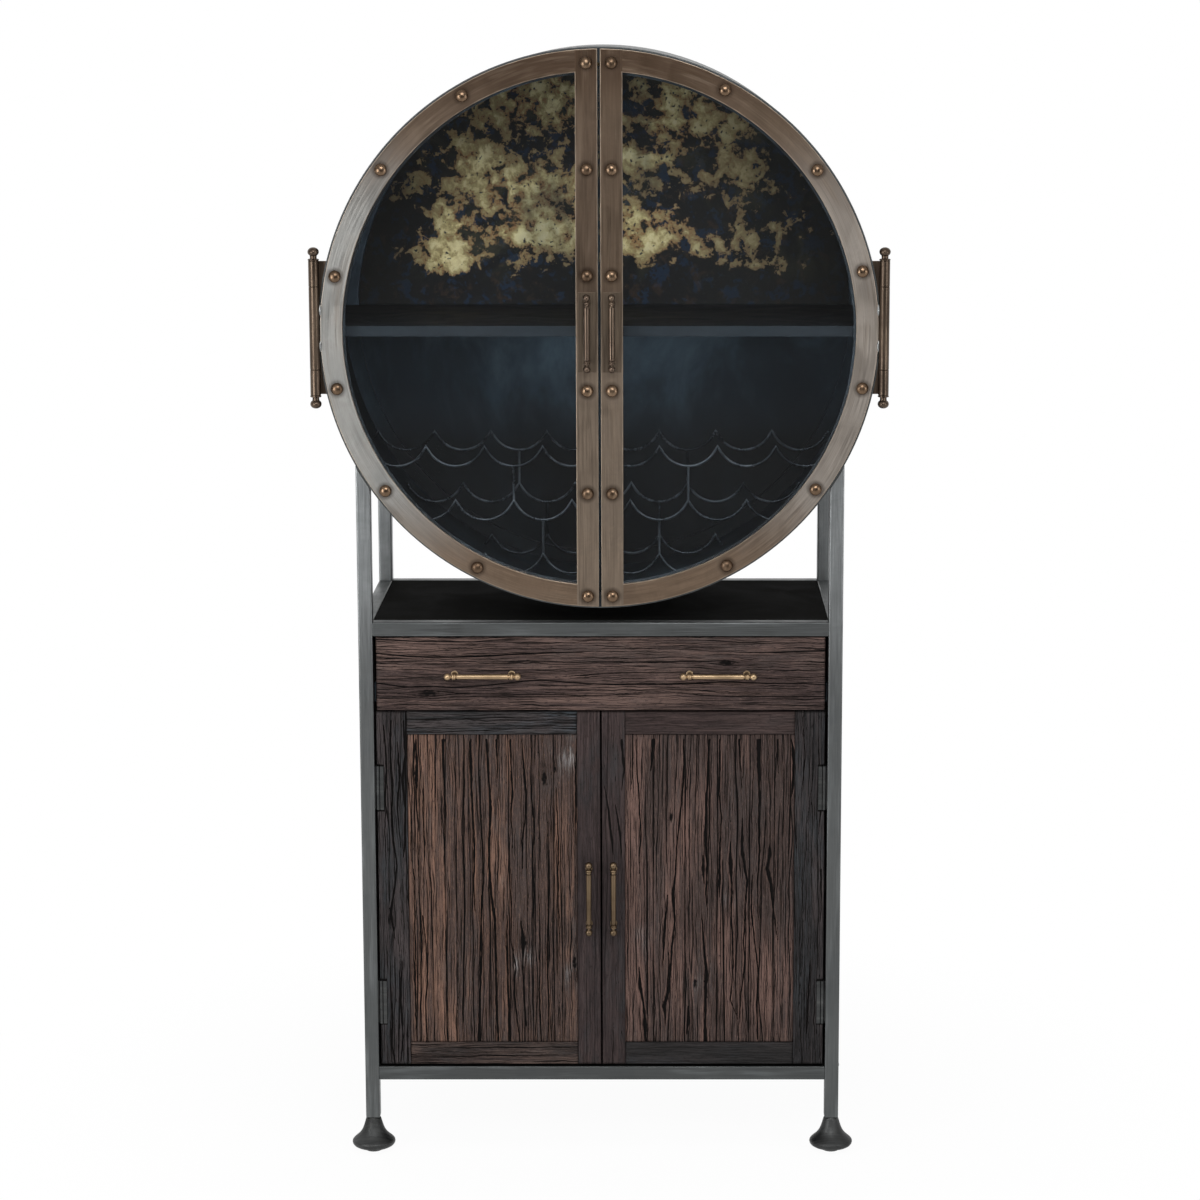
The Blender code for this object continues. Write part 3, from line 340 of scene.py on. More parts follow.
class Flow:
    """One output in a node tree. Sums, fades and patterns of it are further nodes."""

    def __init__(self, tree, socket):
        self.tree, self.socket = tree, socket

    def __add__(self, other):
        return calc("ADD", self, other)

    def __radd__(self, other):
        return calc("ADD", other, self)

    def __sub__(self, other):
        return calc("SUBTRACT", self, other)

    def __rsub__(self, other):
        return calc("SUBTRACT", other, self)

    def __mul__(self, other):
        return calc("MULTIPLY", self, other)

    def __truediv__(self, other):
        return calc("DIVIDE", self, other)

    def fade(self, low, high, start=0.0, end=1.0):
        """Map low..high smoothly to start..end."""
        return grow(self.tree, "ShaderNodeMapRange", {"Value": self, "From Min": low, "From Max": high, "To Min": start,
                                                      "To Max": end}, interpolation_type="SMOOTHSTEP")

    def mix(self, first, second):
        """Go from the first colour to the second by this share."""
        return grow(self.tree, "ShaderNodeMix", {0: self, 6: first, 7: second}, 2, data_type="RGBA")

    def shaded(self, shade):
        """This colour times a grey."""
        grey = grow(self.tree, "ShaderNodeCombineColor", {0: shade, 1: shade, 2: shade})
        return grow(self.tree, "ShaderNodeMix", {0: 1.0, 6: self, 7: grey}, 2, data_type="RGBA", blend_type="MULTIPLY")

    def parts(self):
        """x, y and z of this vector."""
        return [Flow(self.tree, socket) for socket in put(self.tree, "ShaderNodeSeparateXYZ", {0: self}).outputs]

    def stretched(self, *scale):
        """These coordinates scaled along each axis."""
        return grow(self.tree, "ShaderNodeMapping", {"Vector": self, "Scale": scale})

    def clouds(self, scale, detail=4.0, rough=0.5, warp=0.0, output="Fac"):
        return grow(self.tree, "ShaderNodeTexNoise", {"Vector": self, "Scale": scale, "Detail": detail,
                                                      "Roughness": rough, "Distortion": warp}, output)


def put(tree, kind, feeds=(), **settings):
    """Add a node. feeds maps an input's name or number to a value or a Flow."""
    made = tree.nodes.new(kind)
    for key, value in settings.items():
        setattr(made, key, value)
    for key, value in dict(feeds).items():
        if isinstance(value, Flow):
            tree.links.new(value.socket, made.inputs[key])
        else:
            made.inputs[key].default_value = value
    return made


def grow(tree, kind, feeds=(), output=0, **settings):
    """Add a node and return one of its outputs."""
    return Flow(tree, put(tree, kind, feeds, **settings).outputs[output])


def tree_of(values):
    return next(value.tree for value in values if isinstance(value, Flow))


def calc(operation, first, second=0.0, third=0.0):
    values = (first, second, third)
    return grow(tree_of(values), "ShaderNodeMath", dict(enumerate(values)), operation=operation)


def highest(first, second):
    return calc("MAXIMUM", first, second)


def vector_calc(operation, *values, output=0):
    return grow(tree_of(values), "ShaderNodeVectorMath", dict(enumerate(values)), output, operation=operation)


def vector(*values):
    return grow(tree_of(values), "ShaderNodeCombineXYZ", dict(enumerate(values)))


def flows(tree, sockets):
    return {socket.name: Flow(tree, socket) for socket in sockets if socket.name}


def light_path(tree):
    """Whether a ray comes from the camera, off a gloss or through glass."""
    outputs = put(tree, "ShaderNodeLightPath").outputs
    return [Flow(tree, outputs[f"Is {kind} Ray"]) for kind in ("Camera", "Glossy", "Transmission")]


def new_group(name, **inputs):
    """Start a node group. Inputs are given as name=kind, with _ for a space."""
    tree = bpy.data.node_groups.new(name, "ShaderNodeTree")
    for label, kind in inputs.items():
        tree.interface.new_socket(name=label.replace("_", " "), in_out="INPUT", socket_type="NodeSocket" + kind)
    return tree, flows(tree, tree.nodes.new("NodeGroupInput").outputs)


def close_group(tree, **outputs):
    """End a node group. Color is a colour, Brush a vector and every other output a number."""
    kinds = {"Color": "Color", "Brush": "Vector"}
    for label in outputs:
        tree.interface.new_socket(name=label, in_out="OUTPUT", socket_type="NodeSocket" + kinds.get(label, "Float"))
    ends = tree.nodes.new("NodeGroupOutput").inputs
    for label, flow in outputs.items():
        tree.links.new(flow.socket, ends[label])
    return tree


def use(tree, group, **feeds):
    """Add a group node and return its outputs by name."""
    feeds = {label.replace("_", " "): value for label, value in feeds.items()}
    return flows(tree, put(tree, "ShaderNodeGroup", feeds, node_tree=group).outputs)


def new_material(name, **values):
    """Start a material. Returns it and its object coordinates."""
    material = bpy.data.materials.new(name)
    material.use_nodes = True
    tree = material.node_tree
    for key, value in values.items():
        tree.nodes["Principled BSDF"].inputs[key.replace("_", " ")].default_value = value
    return material, grow(tree, "ShaderNodeTexCoord", output="Object")


def complete(material, colour, roughness=None, height=None, depth=0.0):
    """Feed the shader. A height is bumped by its depth in metres."""
    tree = material.node_tree
    inputs = tree.nodes["Principled BSDF"].inputs
    tree.links.new(colour.socket, inputs["Base Color"])
    if roughness:
        tree.links.new(roughness.socket, inputs["Roughness"])
    if height:
        rise = grow(tree, "ShaderNodeBump", {"Height": height, "Distance": depth, "Strength": 1.0})
        tree.links.new(rise.socket, inputs["Normal"])
    return material


def overlay(material, share, other):
    """Replace that share of the material's surface with another shader."""
    tree = material.node_tree
    own = Flow(tree, tree.nodes["Principled BSDF"].outputs[0])
    surface = grow(tree, "ShaderNodeMixShader", {0: share, 1: own, 2: other})
    tree.links.new(surface.socket, tree.nodes["Material Output"].inputs["Surface"])
    return material


def tint(red, green, blue):
    """Return a linear colour from screen values of 0 to 255."""
    parts = [value / 255 for value in (red, green, blue)]
    return (*[part / 12.92 if part <= 0.04045 else ((part + 0.055) / 1.055) ** 2.4 for part in parts], 1.0)


# Effects that several materials share

def make_brushed():
    """Fine lines along one axis, with cloudy patina: the vector's x runs across the lines."""
    tree, given = new_group("brushed_patina", Vector="Vector", Base="Color", Stain="Color", Rubbed="Color",
                            Line_scale="Float", Stain_amount="Float", Roughness="Float")
    place = given["Vector"]
    lines = vector_calc("MULTIPLY", place, vector(given["Line scale"], 9.0, 9.0)).clouds(1.0, 3.0, 0.65)
    streaks = place.stretched(60, 5, 5).clouds(1.0, 3.0, 0.6)
    cloud = place.clouds(11.0, 5.0, 0.6, 0.4)
    colour = (cloud.fade(0.42, 0.68) * given["Stain amount"]).mix(given["Base"], given["Stain"])
    colour = (streaks.fade(0.5, 0.72) * 0.35).mix(colour, given["Rubbed"])
    colour = colour.shaded(lines.fade(0.25, 0.75, 0.82, 1.14))
    rough = given["Roughness"] + lines.fade(0.3, 0.7, -0.06, 0.06) + cloud.fade(0.35, 0.7, -0.03, 0.10)
    return close_group(tree, Color=colour, Roughness=rough, Height=lines)


def make_ring_marks():
    """Where a point lies on a half-round door ring: its brush direction, its edges (worn, with a painted highlight),
    its height, its side and a painted shadow round each rivet.
    """
    tree, given = new_group("ring_marks", Vector="Vector", Rivet_distance="Float")
    x, _, z = given["Vector"].parts()
    across = calc("ABSOLUTE", x)
    up = z - CENTRE
    radius = calc("SQRT", across * across + up * up)
    angle = calc("ARCTAN2", across, up)
    stile = calc("LESS_THAN", across, STILE_EDGE + RING_BAR)
    arc = 1.0 - stile
    brush = vector(across * stile + radius * arc, up * stile + angle * 0.46 * arc, x)
    outside = calc("MINIMUM", RING_RADIUS - radius, across - STILE_EDGE)
    inside = highest(radius - (RING_RADIUS - RING_BAR), STILE_EDGE + RING_BAR - across)
    wave = given["Vector"].clouds(45.0, 4.0, 0.6) - 0.5
    edge = calc("MINIMUM", outside, inside) + wave * 0.0024
    # Painted shadow round each rivet
    far = given["Rivet distance"] + wave * 0.006
    return close_group(tree, Brush=brush, Edge=edge.fade(0.0004, 0.0020, 1.0, 0.0),
                       Halo=far.fade(0.0105, 0.0185, 1.0, 0.0), Height=up, Side=across.fade(0.12, 0.40), Stile=stile)


def make_old_wood():
    """Weathered wood: colour from depth in the cracks, patches and fine grain; the near black in the cracks is partly
    dirt and partly painted shade. The vector's x runs across the grain.
    """
    tree, given = new_group("old_wood", Vector="Vector", Depth="Float", Tone="Float", Lines="Float", Scar="Float",
                            Ridge="Color", Body="Color", Patch="Color", Patch_amount="Float")
    place, ridge = given["Vector"], given["Ridge"]
    fine = place.stretched(620, 30, 30).clouds(1.0, 4.0, 0.65)
    grain = place.stretched(130, 5, 5).clouds(1.0, 5.0, 0.6, 0.3)
    patch = place.stretched(16, 4.5, 4.5).clouds(1.0, 5.0, 0.6, 0.5)
    mottle = place.stretched(70, 22, 22).clouds(1.0, 4.0, 0.6)
    flecks = place.stretched(430, 120, 120).clouds(1.0, 3.0, 0.6)
    quiver = place.stretched(45, 28, 28).clouds(1.0, 3.0, 0.6)
    colour = (grain * 0.6 + given["Tone"] * 0.55).fade(0.38, 0.80).mix(given["Body"], ridge)
    colour = (patch.fade(0.44, 0.62) * given["Patch amount"] * mottle.fade(0.32, 0.6)).mix(colour, given["Patch"])
    colour = (given["Scar"] * (mottle + fine * 0.5).fade(0.62, 0.92)).mix(colour, tint(132, 132, 132))
    colour = flecks.fade(0.56, 0.70, 0.0, 0.6).mix(colour, (0.010, 0.008, 0.008, 1))
    colour = flecks.fade(0.44, 0.33, 0.0, 0.4).mix(colour, ridge)
    colour = colour.shaded(fine.fade(0.25, 0.72, 0.60, 1.42))
    x, y, _ = place.parts()
    across = x + (quiver - 0.5) * 0.006
    lines = ridges = 0.0
    for pitch, length, widest, opening in ((0.0125, 6.0, 0.0011, 0.46), (0.0052, 11.0, 0.0007, 0.45),
                                           (0.0029, 17.0, 0.00045, 0.47)):
        spot = across / pitch
        cell = calc("FLOOR", spot)
        run = y * length
        centre = 0.5 + (vector(cell * 7.31, run, pitch * 900).clouds(0.6, 2.0) - 0.5) * 1.5
        width = vector(cell * 3.77, run, 40.0).clouds(1.0, 2.0).fade(opening, opening + 0.16, 0.00002, widest)
        gap = calc("ABSOLUTE", spot - cell - centre) * pitch / width
        lines = highest(lines, gap.fade(0.35, 1.1, 1.0, 0.0))
        ridges = highest(ridges, gap.fade(1.2, 2.6, 0.8, 0.0))
    lines = lines * given["Lines"]
    # Paler rims beside the cracks: partly wear, partly a painted highlight on the lit edges
    ridges = ridges * given["Lines"] * mottle.fade(0.40, 0.62)
    colour = (ridges * 0.45).mix(colour, ridge)
    # Near black in the carved cracks: partly dirt, partly painted shade in the recess
    dark = highest(given["Depth"].fade(0.12, 0.62), lines)
    return close_group(tree, Color=dark.mix(colour, (0.0045, 0.0038, 0.0036, 1)),
                       Roughness=dark.fade(0.0, 0.6, 0.62, 0.95), Height=fine * 0.5 + grain - lines * 1.2)


BRUSHED = make_brushed()
RING_MARKS = make_ring_marks()
OLD_WOOD = make_old_wood()


def brushed_metal(name, base, stain, rubbed, roughness, along="z", lines=900.0, stains=0.4, metallic=1.0,
                  depth=0.00006, low=None, high=None):
    """Brushed or cast metal whose fine lines run along one axis; low paints shade towards the floor and high paints
    light up high, if told.
    """
    material, place = new_material(name, Metallic=metallic)
    parts = place.parts()
    one, two, way = {"z": (0, 1, 2), "x": (2, 1, 0), "y": (2, 0, 1)}[along]
    base = tint(*base)
    # Painted shade: darker towards the floor
    if low:
        base = parts[2].fade(0.25, 0.70).mix(tint(*low), base)
    # Painted light: paler up high, where the lamps catch the tubes
    if high:
        base = parts[2].fade(0.80, 1.10).mix(base, tint(*high))
    made = use(place.tree, BRUSHED, Vector=vector(parts[one] + parts[two], parts[way], parts[two]), Base=base,
               Stain=tint(*stain), Rubbed=tint(*rubbed), Line_scale=lines, Stain_amount=stains, Roughness=roughness)
    return complete(material, made["Color"], made["Roughness"], made["Height"], depth)


def rivet_places(side_name):
    """Where the rivets sit on one door's ring, as (x, z)."""
    side = dict(SIDES)[side_name]
    turns = [math.radians(angle) for angle in RIVET_ANGLES[side_name]]
    spots = [(side * RIVET_CIRCLE * math.sin(turn), CENTRE + RIVET_CIRCLE * math.cos(turn)) for turn in turns]
    return spots + [(side * (STILE_EDGE + RING_BAR / 2), CENTRE + height) for height in STILE_RIVETS]


def ring_bronze(side_name, base, reflected_silver, share):
    """Brushed bronze of a door ring. Its outer sides carry a painted reflection of the side lamps in pale silvery grey;
    its top is darkened by painted shade and its bottom paled by painted light.
    """
    material, place = new_material(f"ring_bronze_{side_name}", Metallic=1.0)
    far = 1.0
    for x, z in rivet_places(side_name):
        far = calc("MINIMUM", far, vector_calc("DISTANCE", place, (x, RING_FACE, z), output="Value"))
    marks = use(place.tree, RING_MARKS, Vector=place, Rivet_distance=far)
    height = marks["Height"]
    # Painted reflection: pale silvery grey on the outer sides at mid height, also in the stain colour
    worn = marks["Side"] * (height.fade(0.36, 0.16) * height.fade(-0.47, -0.36)) * share
    grey = marks["Stile"] * height.fade(0.10, -0.14, 0.0, 0.8)
    colour = worn.mix(tint(*base), tint(*reflected_silver))
    # Painted shade over the top of the ring, painted light over its bottom
    colour = height.fade(0.35, 0.45, 0.0, 0.95).mix(colour, tint(78, 63, 51))
    colour = height.fade(-0.26, -0.42, 0.0, 0.9).mix(colour, tint(136, 116, 98))
    colour = grey.mix(colour, tint(146, 131, 116))
    stain = grey.mix(worn.mix(tint(80, 67, 57), tint(136, 133, 128)), tint(100, 91, 82))
    made = use(place.tree, BRUSHED, Vector=marks["Brush"], Base=colour, Stain=stain, Rubbed=tint(140, 124, 108),
               Line_scale=1100.0, Stain_amount=0.5, Roughness=0.38)
    # Pale edges: partly wear, partly a painted highlight where light catches the bevel
    colour = (marks["Edge"] * 0.6).mix(made["Color"], tint(176, 160, 142))
    # Painted shadow: a dark ring round each rivet
    colour = (marks["Halo"] * 0.6).mix(colour, tint(58, 46, 38))
    return complete(material, colour, made["Roughness"], made["Height"], 0.00005)


def old_wood(name, ridge, body, patch, patches, along, offset, lines=1.0):
    """Stained reclaimed wood; the board's own attributes follow its carved cracks."""
    material, place = new_material(f"{name}_wood", Metallic=0.0, Specular_IOR_Level=0.1)
    tree = place.tree
    crack, tone, sway, scar = (grow(tree, "ShaderNodeAttribute", output="Fac", attribute_name=label)
                               for label in ("crack", "tone", "sway", "scar"))
    parts = place.parts()
    order = (0, 2, 1) if along == "z" else (2, 0, 1)
    grain = vector(parts[order[0]] + sway, parts[order[1]], parts[order[2]])
    made = use(tree, OLD_WOOD, Vector=vector_calc("ADD", grain, (*offset, 0.0)), Scar=scar, Depth=crack, Tone=tone,
               Lines=lines, Ridge=tint(*ridge), Body=tint(*body), Patch=tint(*patch), Patch_amount=patches)
    return complete(material, made["Color"], made["Roughness"], made["Height"], 0.0008)


def painted(name, base, worn, roughness, metallic=0.0, cloud=9.0, amount=0.5, grit=420.0, gloss=0.4,
            front=None, shade_pool=0.0):
    """Dull paint with cloudy smears and fine grit; front colours the shelf's edge above a top kept dark as painted
    shade, and painted shade can darken the drum's foot and its right side.
    """
    material, place = new_material(name, Metallic=metallic, Specular_IOR_Level=gloss)
    x, y, z = place.parts()
    smear = place.stretched(1.0, 1.0, 0.55).clouds(cloud, 6.0, 0.62, 0.8)
    fine = place.clouds(grit, 3.0, 0.6)
    colour = (smear.fade(0.40, 0.72) * amount).mix(tint(*base), tint(*worn))
    # The shelf's front edge gets its own colour; the rest keeps the near-black base, a painted shade
    if front:
        colour = y.fade(FRONT + 0.026, FRONT + 0.027, 1.0, 0.0).mix(colour, tint(*front))
    shade = fine.fade(0.3, 0.7, 0.97, 1.03)
    # Painted shade: darker towards the drum's foot and its right side
    if shade_pool:
        shade = shade * z.fade(CENTRE - 0.28, CENTRE - 0.07, 1 - shade_pool, 1.0) * x.fade(0.05, 0.30, 1.0, 0.7)
    rough = smear.fade(0.35, 0.7, roughness - 0.08, roughness + 0.10) + fine.fade(0.3, 0.7, -0.04, 0.04)
    return complete(material, colour.shaded(shade), rough, fine, 0.00001)


def make_glass():
    """Clear sheet glass that lets the lamps' light through."""
    material, place = new_material("sheet_glass", Metallic=0.0, Transmission_Weight=1.0, IOR=1.45,
                                   Specular_IOR_Level=0.2)
    smear = place.stretched(1, 1, 0.6).clouds(7.0, 5.0, 0.6, 1.0)
    complete(material, smear.fade(0.4, 0.7).mix((0.99, 0.99, 0.99, 1), (0.94, 0.97, 0.98, 1)),
             smear.fade(0.45, 0.75, 0.0, 0.05))
    clear = grow(place.tree, "ShaderNodeBsdfTransparent", {"Color": (0.98, 0.98, 0.98, 1)})
    return overlay(material, grow(place.tree, "ShaderNodeLightPath", output="Is Shadow Ray"), clear)


def make_mirror():
    """Antiqued mirror: ragged islands of cream and gold silvering eaten by round blue-black blooms."""
    material, place = new_material("old_mirror", Metallic=0.0, Specular_IOR_Level=0.3)
    tree = place.tree
    x, _, z = place.parts()
    drift = vector_calc("SUBTRACT", place.clouds(34.0, 6.0, 0.65, output="Color"), (0.5, 0.5, 0.5))
    drift = grow(tree, "ShaderNodeVectorMath", {0: drift, 3: 0.032}, operation="SCALE")
    ragged = vector_calc("ADD", place, drift)
    hot = None
    for east, north, wide, tall in ((-0.285, 0.100, 0.055, 0.050), (-0.120, 0.150, 0.130, 0.040),
                                    (-0.150, 0.220, 0.095, 0.045), (-0.235, 0.265, 0.050, 0.045),
                                    (-0.120, 0.385, 0.110, 0.050), (-0.275, 0.160, 0.035, 0.045),
                                    (0.090, 0.145, 0.090, 0.045), (0.235, 0.125, 0.085, 0.035),
                                    (0.290, 0.100, 0.045, 0.035), (0.150, 0.350, 0.095, 0.060),
                                    (0.060, 0.280, 0.060, 0.022), (0.245, 0.262, 0.050, 0.030)):
        away = vector_calc("SUBTRACT", ragged, (east, 0, CENTRE + north))
        away = vector_calc("MULTIPLY", away, (1 / wide, 0, 1 / tall))
        near = vector_calc("LENGTH", away, output="Value").fade(0.2, 1.7, 1.0, 0.0)
        hot = near if hot is None else highest(hot, near)
    blooms, specks = (grow(tree, "ShaderNodeTexVoronoi", {"Vector": ragged, "Scale": scale, "Randomness": 1.0})
                      for scale in (40.0, 105.0))
    # Painted shade: the strip just above the shelf is dark
    low = z.fade(CENTRE + 0.035, CENTRE + 0.085, 1.0, 0.0)
    rim = calc("ABSOLUTE", x).fade(0.30, 0.42)
    total = ragged.clouds(34.0, 9.0, 0.70, 0.3) * 0.66
    for part, weight in ((place.clouds(9.0, 3.0, 0.5, 0.6), 0.40), (blooms, 0.17), (specks, 0.05), (hot, 0.125),
                         (low, -0.25), (rim, -0.06)):
        total = calc("MULTIPLY_ADD", part, weight, total)
    total = total - x.fade(-0.1, 0.3, 0.681, 0.702)
    ramp = put(tree, "ShaderNodeValToRGB", {"Fac": total * 4.0})
    stops = [(0.0, tint(92, 66, 40)), (0.06, tint(168, 122, 74)), (0.15, tint(160, 140, 96)),
             (0.30, tint(192, 176, 122)), (0.44, tint(232, 220, 162)), (0.7, tint(252, 244, 194))]
    elements = ramp.color_ramp.elements
    while len(elements) < len(stops):
        elements.new(0.5)
    for element, (spot, colour) in zip(elements, stops):
        element.position = spot
        element.color = colour
    ground = ragged.clouds(46.0, 5.0, 0.6).fade(0.52, 0.60).mix(tint(24, 26, 28), tint(28, 46, 68))
    ground = (place.clouds(38.0, 6.0, 0.65, 0.5).fade(0.55, 0.66) * 0.55).mix(ground, tint(66, 52, 42))
    haze = place.clouds(6.0, 7.0, 0.58, 1.4).fade(0.47, 0.68) * (1.0 - low)
    ground = (haze * 0.45).mix(ground, tint(84, 86, 68))
    dull = highest((1.0 - hot) * 0.6, x.fade(0.05, 0.30, 0.0, 0.6))
    gold = dull.mix(Flow(tree, ramp.outputs["Color"]), tint(142, 128, 88))
    colour = total.fade(-0.004, 0.005).mix(ground, gold)
    dots = specks.fade(0.30, 0.20) * place.clouds(55.0, 2.0).fade(0.48, 0.53)
    colour = dots.mix(colour, tint(32, 34, 36))
    # Darker over cloudy smoke, towards the left and right edges and over the right half
    smoke = place.stretched(1.0, 1.0, 0.5).clouds(5.0, 4.0, 0.5, 0.6)
    smoke = highest(highest(rim, smoke.fade(0.56, 0.72)) * 0.7, x.fade(0.02, 0.25, 0.0, 0.4))
    return complete(material, smoke.mix(colour, tint(30, 32, 30)), total.fade(-0.01, 0.03, 0.25, 0.45))


# The gunmetals' low colours are painted shade, and the uprights' high colour is painted light
GUNMETAL_UP = brushed_metal("gunmetal_upright", (104, 106, 106), (82, 85, 86), (140, 144, 145), 0.40, "z", 700,
                            low=(94, 96, 96), high=(148, 151, 152))
GUNMETAL_ACROSS = brushed_metal("gunmetal_across", (94, 96, 96), (76, 79, 80), (126, 130, 131), 0.40, "x", 700,
                                low=(80, 82, 82))
GUNMETAL_DEEP = brushed_metal("gunmetal_deep", (98, 100, 100), (80, 83, 84), (130, 134, 135), 0.40, "y", 700,
                              low=(84, 86, 86))
IRON = brushed_metal("cast_iron", (68, 69, 69), (46, 46, 45), (104, 104, 102), 0.48, "x", 260, 0.6, 0.9, 0.0003)
# The black board's near black partly stands in for the drum's shadow on the deck: painted shade
BLACK = painted("black_board", (17, 17, 16), (26, 25, 23), 0.80, 0.0, 7.0, 0.6, gloss=0.012)
CASE = painted("case_board", (30, 29, 28), (52, 49, 46), 0.55, 0.0, 5.0, 0.7, gloss=0.35)
SLATE = painted("slate_oxide", (26, 32, 37), (72, 86, 96), 0.55, 0.2, 5.0, 0.6, gloss=0.3)
# The shelf's top is painted near black as shade; only its front edge shows the slate paint
SHELF_PAINT = painted("slate_board", (16, 18, 20), (26, 30, 34), 0.7, gloss=0.1, front=(38, 45, 51))
# The pan's lower part and right side are darkened by painted shade
PAN_PAINT = painted("pan_slate", (52, 67, 80), (118, 146, 166), 0.6, 0.0, 4.0, 0.6, gloss=0.2, shade_pool=0.92)
WIRE = painted("rack_wire", (58, 64, 70), (116, 126, 134), 0.28, 0.9, 9.0, 0.7)
BRONZE = brushed_metal("bronze_fittings", (86, 74, 64), (56, 47, 40), (128, 112, 95), 0.34, "z", 500, 0.5)
RIVET_BRONZE = brushed_metal("rivet_bronze", (112, 92, 74), (58, 45, 36), (180, 154, 128), 0.28, "z", 300, 0.8)
BRASS = brushed_metal("handle_brass", (114, 97, 77), (76, 62, 48), (156, 136, 108), 0.38, "z", 300, 0.6)
# A brighter copy of the handle brass: painted light on the drawer handles
LIT_DRAWER_BRASS = brushed_metal("lit_drawer_brass", (176, 151, 120), (116, 96, 75), (214, 190, 152), 0.38, "x", 300, 0.6)
DARK_BRASS = brushed_metal("drum_handle_brass", (98, 84, 73), (58, 48, 42), (150, 132, 112), 0.30, "z", 300, 0.6)
PLATE_BRONZE = brushed_metal("handle_plate", (102, 90, 78), (82, 71, 61), (134, 118, 100), 0.40, "z", 900, 0.5)
WELD = brushed_metal("weld_steel", (150, 152, 152), (100, 98, 94), (190, 192, 192), 0.26, "z", 200, 0.5, 1.0, 0.0004)
GLASS = make_glass()
MIRROR = make_mirror()
# The second colour and the share set each ring's painted reflection
RINGS = {"left": ring_bronze("left", (102, 87, 74), (172, 172, 169), 0.95),
         "right": ring_bronze("right", (106, 91, 77), (178, 169, 160), 0.85)}
BOX_TIMBER = painted("drawer_timber", (120, 92, 66), (146, 116, 88), 0.6, 0.0, 14.0, 0.6, 200.0)
DRAWER_WOOD = old_wood("drawer", (91, 74, 68), (58, 47, 45), (62, 57, 55), 0.45, "x", (0.0, 1.7))
LEFT_PANEL = old_wood("left_panel", (110, 84, 71), (65, 53, 49), (60, 58, 58), 0.5, "z", (0.0, 0.4))
RIGHT_PANEL = old_wood("right_panel", (98, 77, 70), (60, 50, 47), (56, 54, 54), 0.4, "z", (2.0, 0.9))
HINGE_STILE = old_wood("hinge_stile", (60, 54, 54), (35, 34, 35), (46, 51, 54), 0.6, "z", (3.0, 0.0))
RED_STILE = old_wood("meeting_stile", (59, 49, 48), (45, 38, 38), (41, 45, 47), 0.5, "z", (5.0, 0.0), 0.35)
BLUE_RAIL = old_wood("left_top_rail", (60, 55, 55), (40, 41, 42), (60, 68, 74), 0.7, "x", (0.0, 7.0))
RED_RAIL = old_wood("right_top_rail", (61, 50, 48), (47, 38, 37), (46, 44, 44), 0.3, "x", (0.0, 3.0), 0.4)
BROWN_RAIL = old_wood("left_foot_rail", (82, 68, 62), (50, 42, 40), (46, 46, 46), 0.5, "x", (0.0, 9.0))
GREY_RAIL = old_wood("right_foot_rail", (45, 42, 42), (34, 33, 33), (38, 41, 44), 0.5, "x", (0.0, 5.0), 0.4)


# Steel frame

def build_frame():
    """Square tubes with softened corners, run into each other where the real ones are welded and ground."""
    for depth_name, side_name, side in CORNERS:
        node = f"{depth_name}_{side_name}_post"
        x, y, _ = middle(f"{depth_name}_{side_name}_foot")
        low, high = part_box(node)
        post = block(f"{depth_name}_{side_name}_tube", (x, y, (low.z + high.z) / 2), (TUBE, TUBE, high.z - low.z))
        slice_up(post, [(x - TUBE / 2 + TUBE * step / 7, y, 0) for step in range(1, 7)], (1, 0, 0))
        for vertex in post.data.vertices:
            if vertex.co.z > CENTRE - 0.4:
                vertex.co.z = CENTRE - math.sqrt((DRUM_RADIUS + 0.0001) ** 2 - vertex.co.x ** 2)
        round_edges(post, 0.0022, 3, 60)
        soften(post, 40, True)
        fit(post, GUNMETAL_UP, "cabinet", node)
        if depth_name == "front":
            build_post_knuckles(side_name, side, node)
    for level in ("upper", "lower"):
        for place in ("front", "rear", "left", "right"):
            node = f"{level}_{place}_rail"
            low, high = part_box(node)
            across = place in ("front", "rear")
            grow_ends = Vector((0.0012, 0, 0) if across else (0, 0.0012, 0))
            rail = bar(f"{level}_{place}_tube", low - grow_ends, high + grow_ends, 0.0022, 3)
            fit(rail, GUNMETAL_ACROSS if across else GUNMETAL_DEEP, "cabinet", node)


def build_post_knuckles(side_name, side, node):
    """The leaf, two knuckles and pin of each cupboard hinge, which are welded to a front post."""
    centre = (side * BUTT_X, BUTT_Y, 0)
    near, far = span(side, 0.3967, 0.3985)
    play = 0.0003
    for level, _ in LEVELS:
        name = f"{side_name}_{level}_post"
        low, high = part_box(f"{side_name}_{level}_door_leaf")
        third = (high.z - low.z) / 3
        pieces = [bar(f"{name}_leaf", (near, BUTT_Y + 0.0015, low.z + 0.001), (far, BUTT_Y + 0.0155, high.z - 0.001),
                      0.0003),
                  turned(f"{name}_pin", [(AXIS, low.z), (0.0012, low.z), (0.0012, high.z), (AXIS, high.z)], centre, 16)]
        for start in (low.z, high.z - third + play):
            end = start + third - play
            pieces.append(turned(f"{name}_knuckle", [(AXIS, start), (0.0026, start), (0.0030, start + 0.0004),
                                                     (0.0030, end - 0.0004), (0.0026, end), (AXIS, end)], centre, 24))
        fit(joined(f"{name}_knuckles", pieces), IRON, "cabinet", node, "dark_iron")


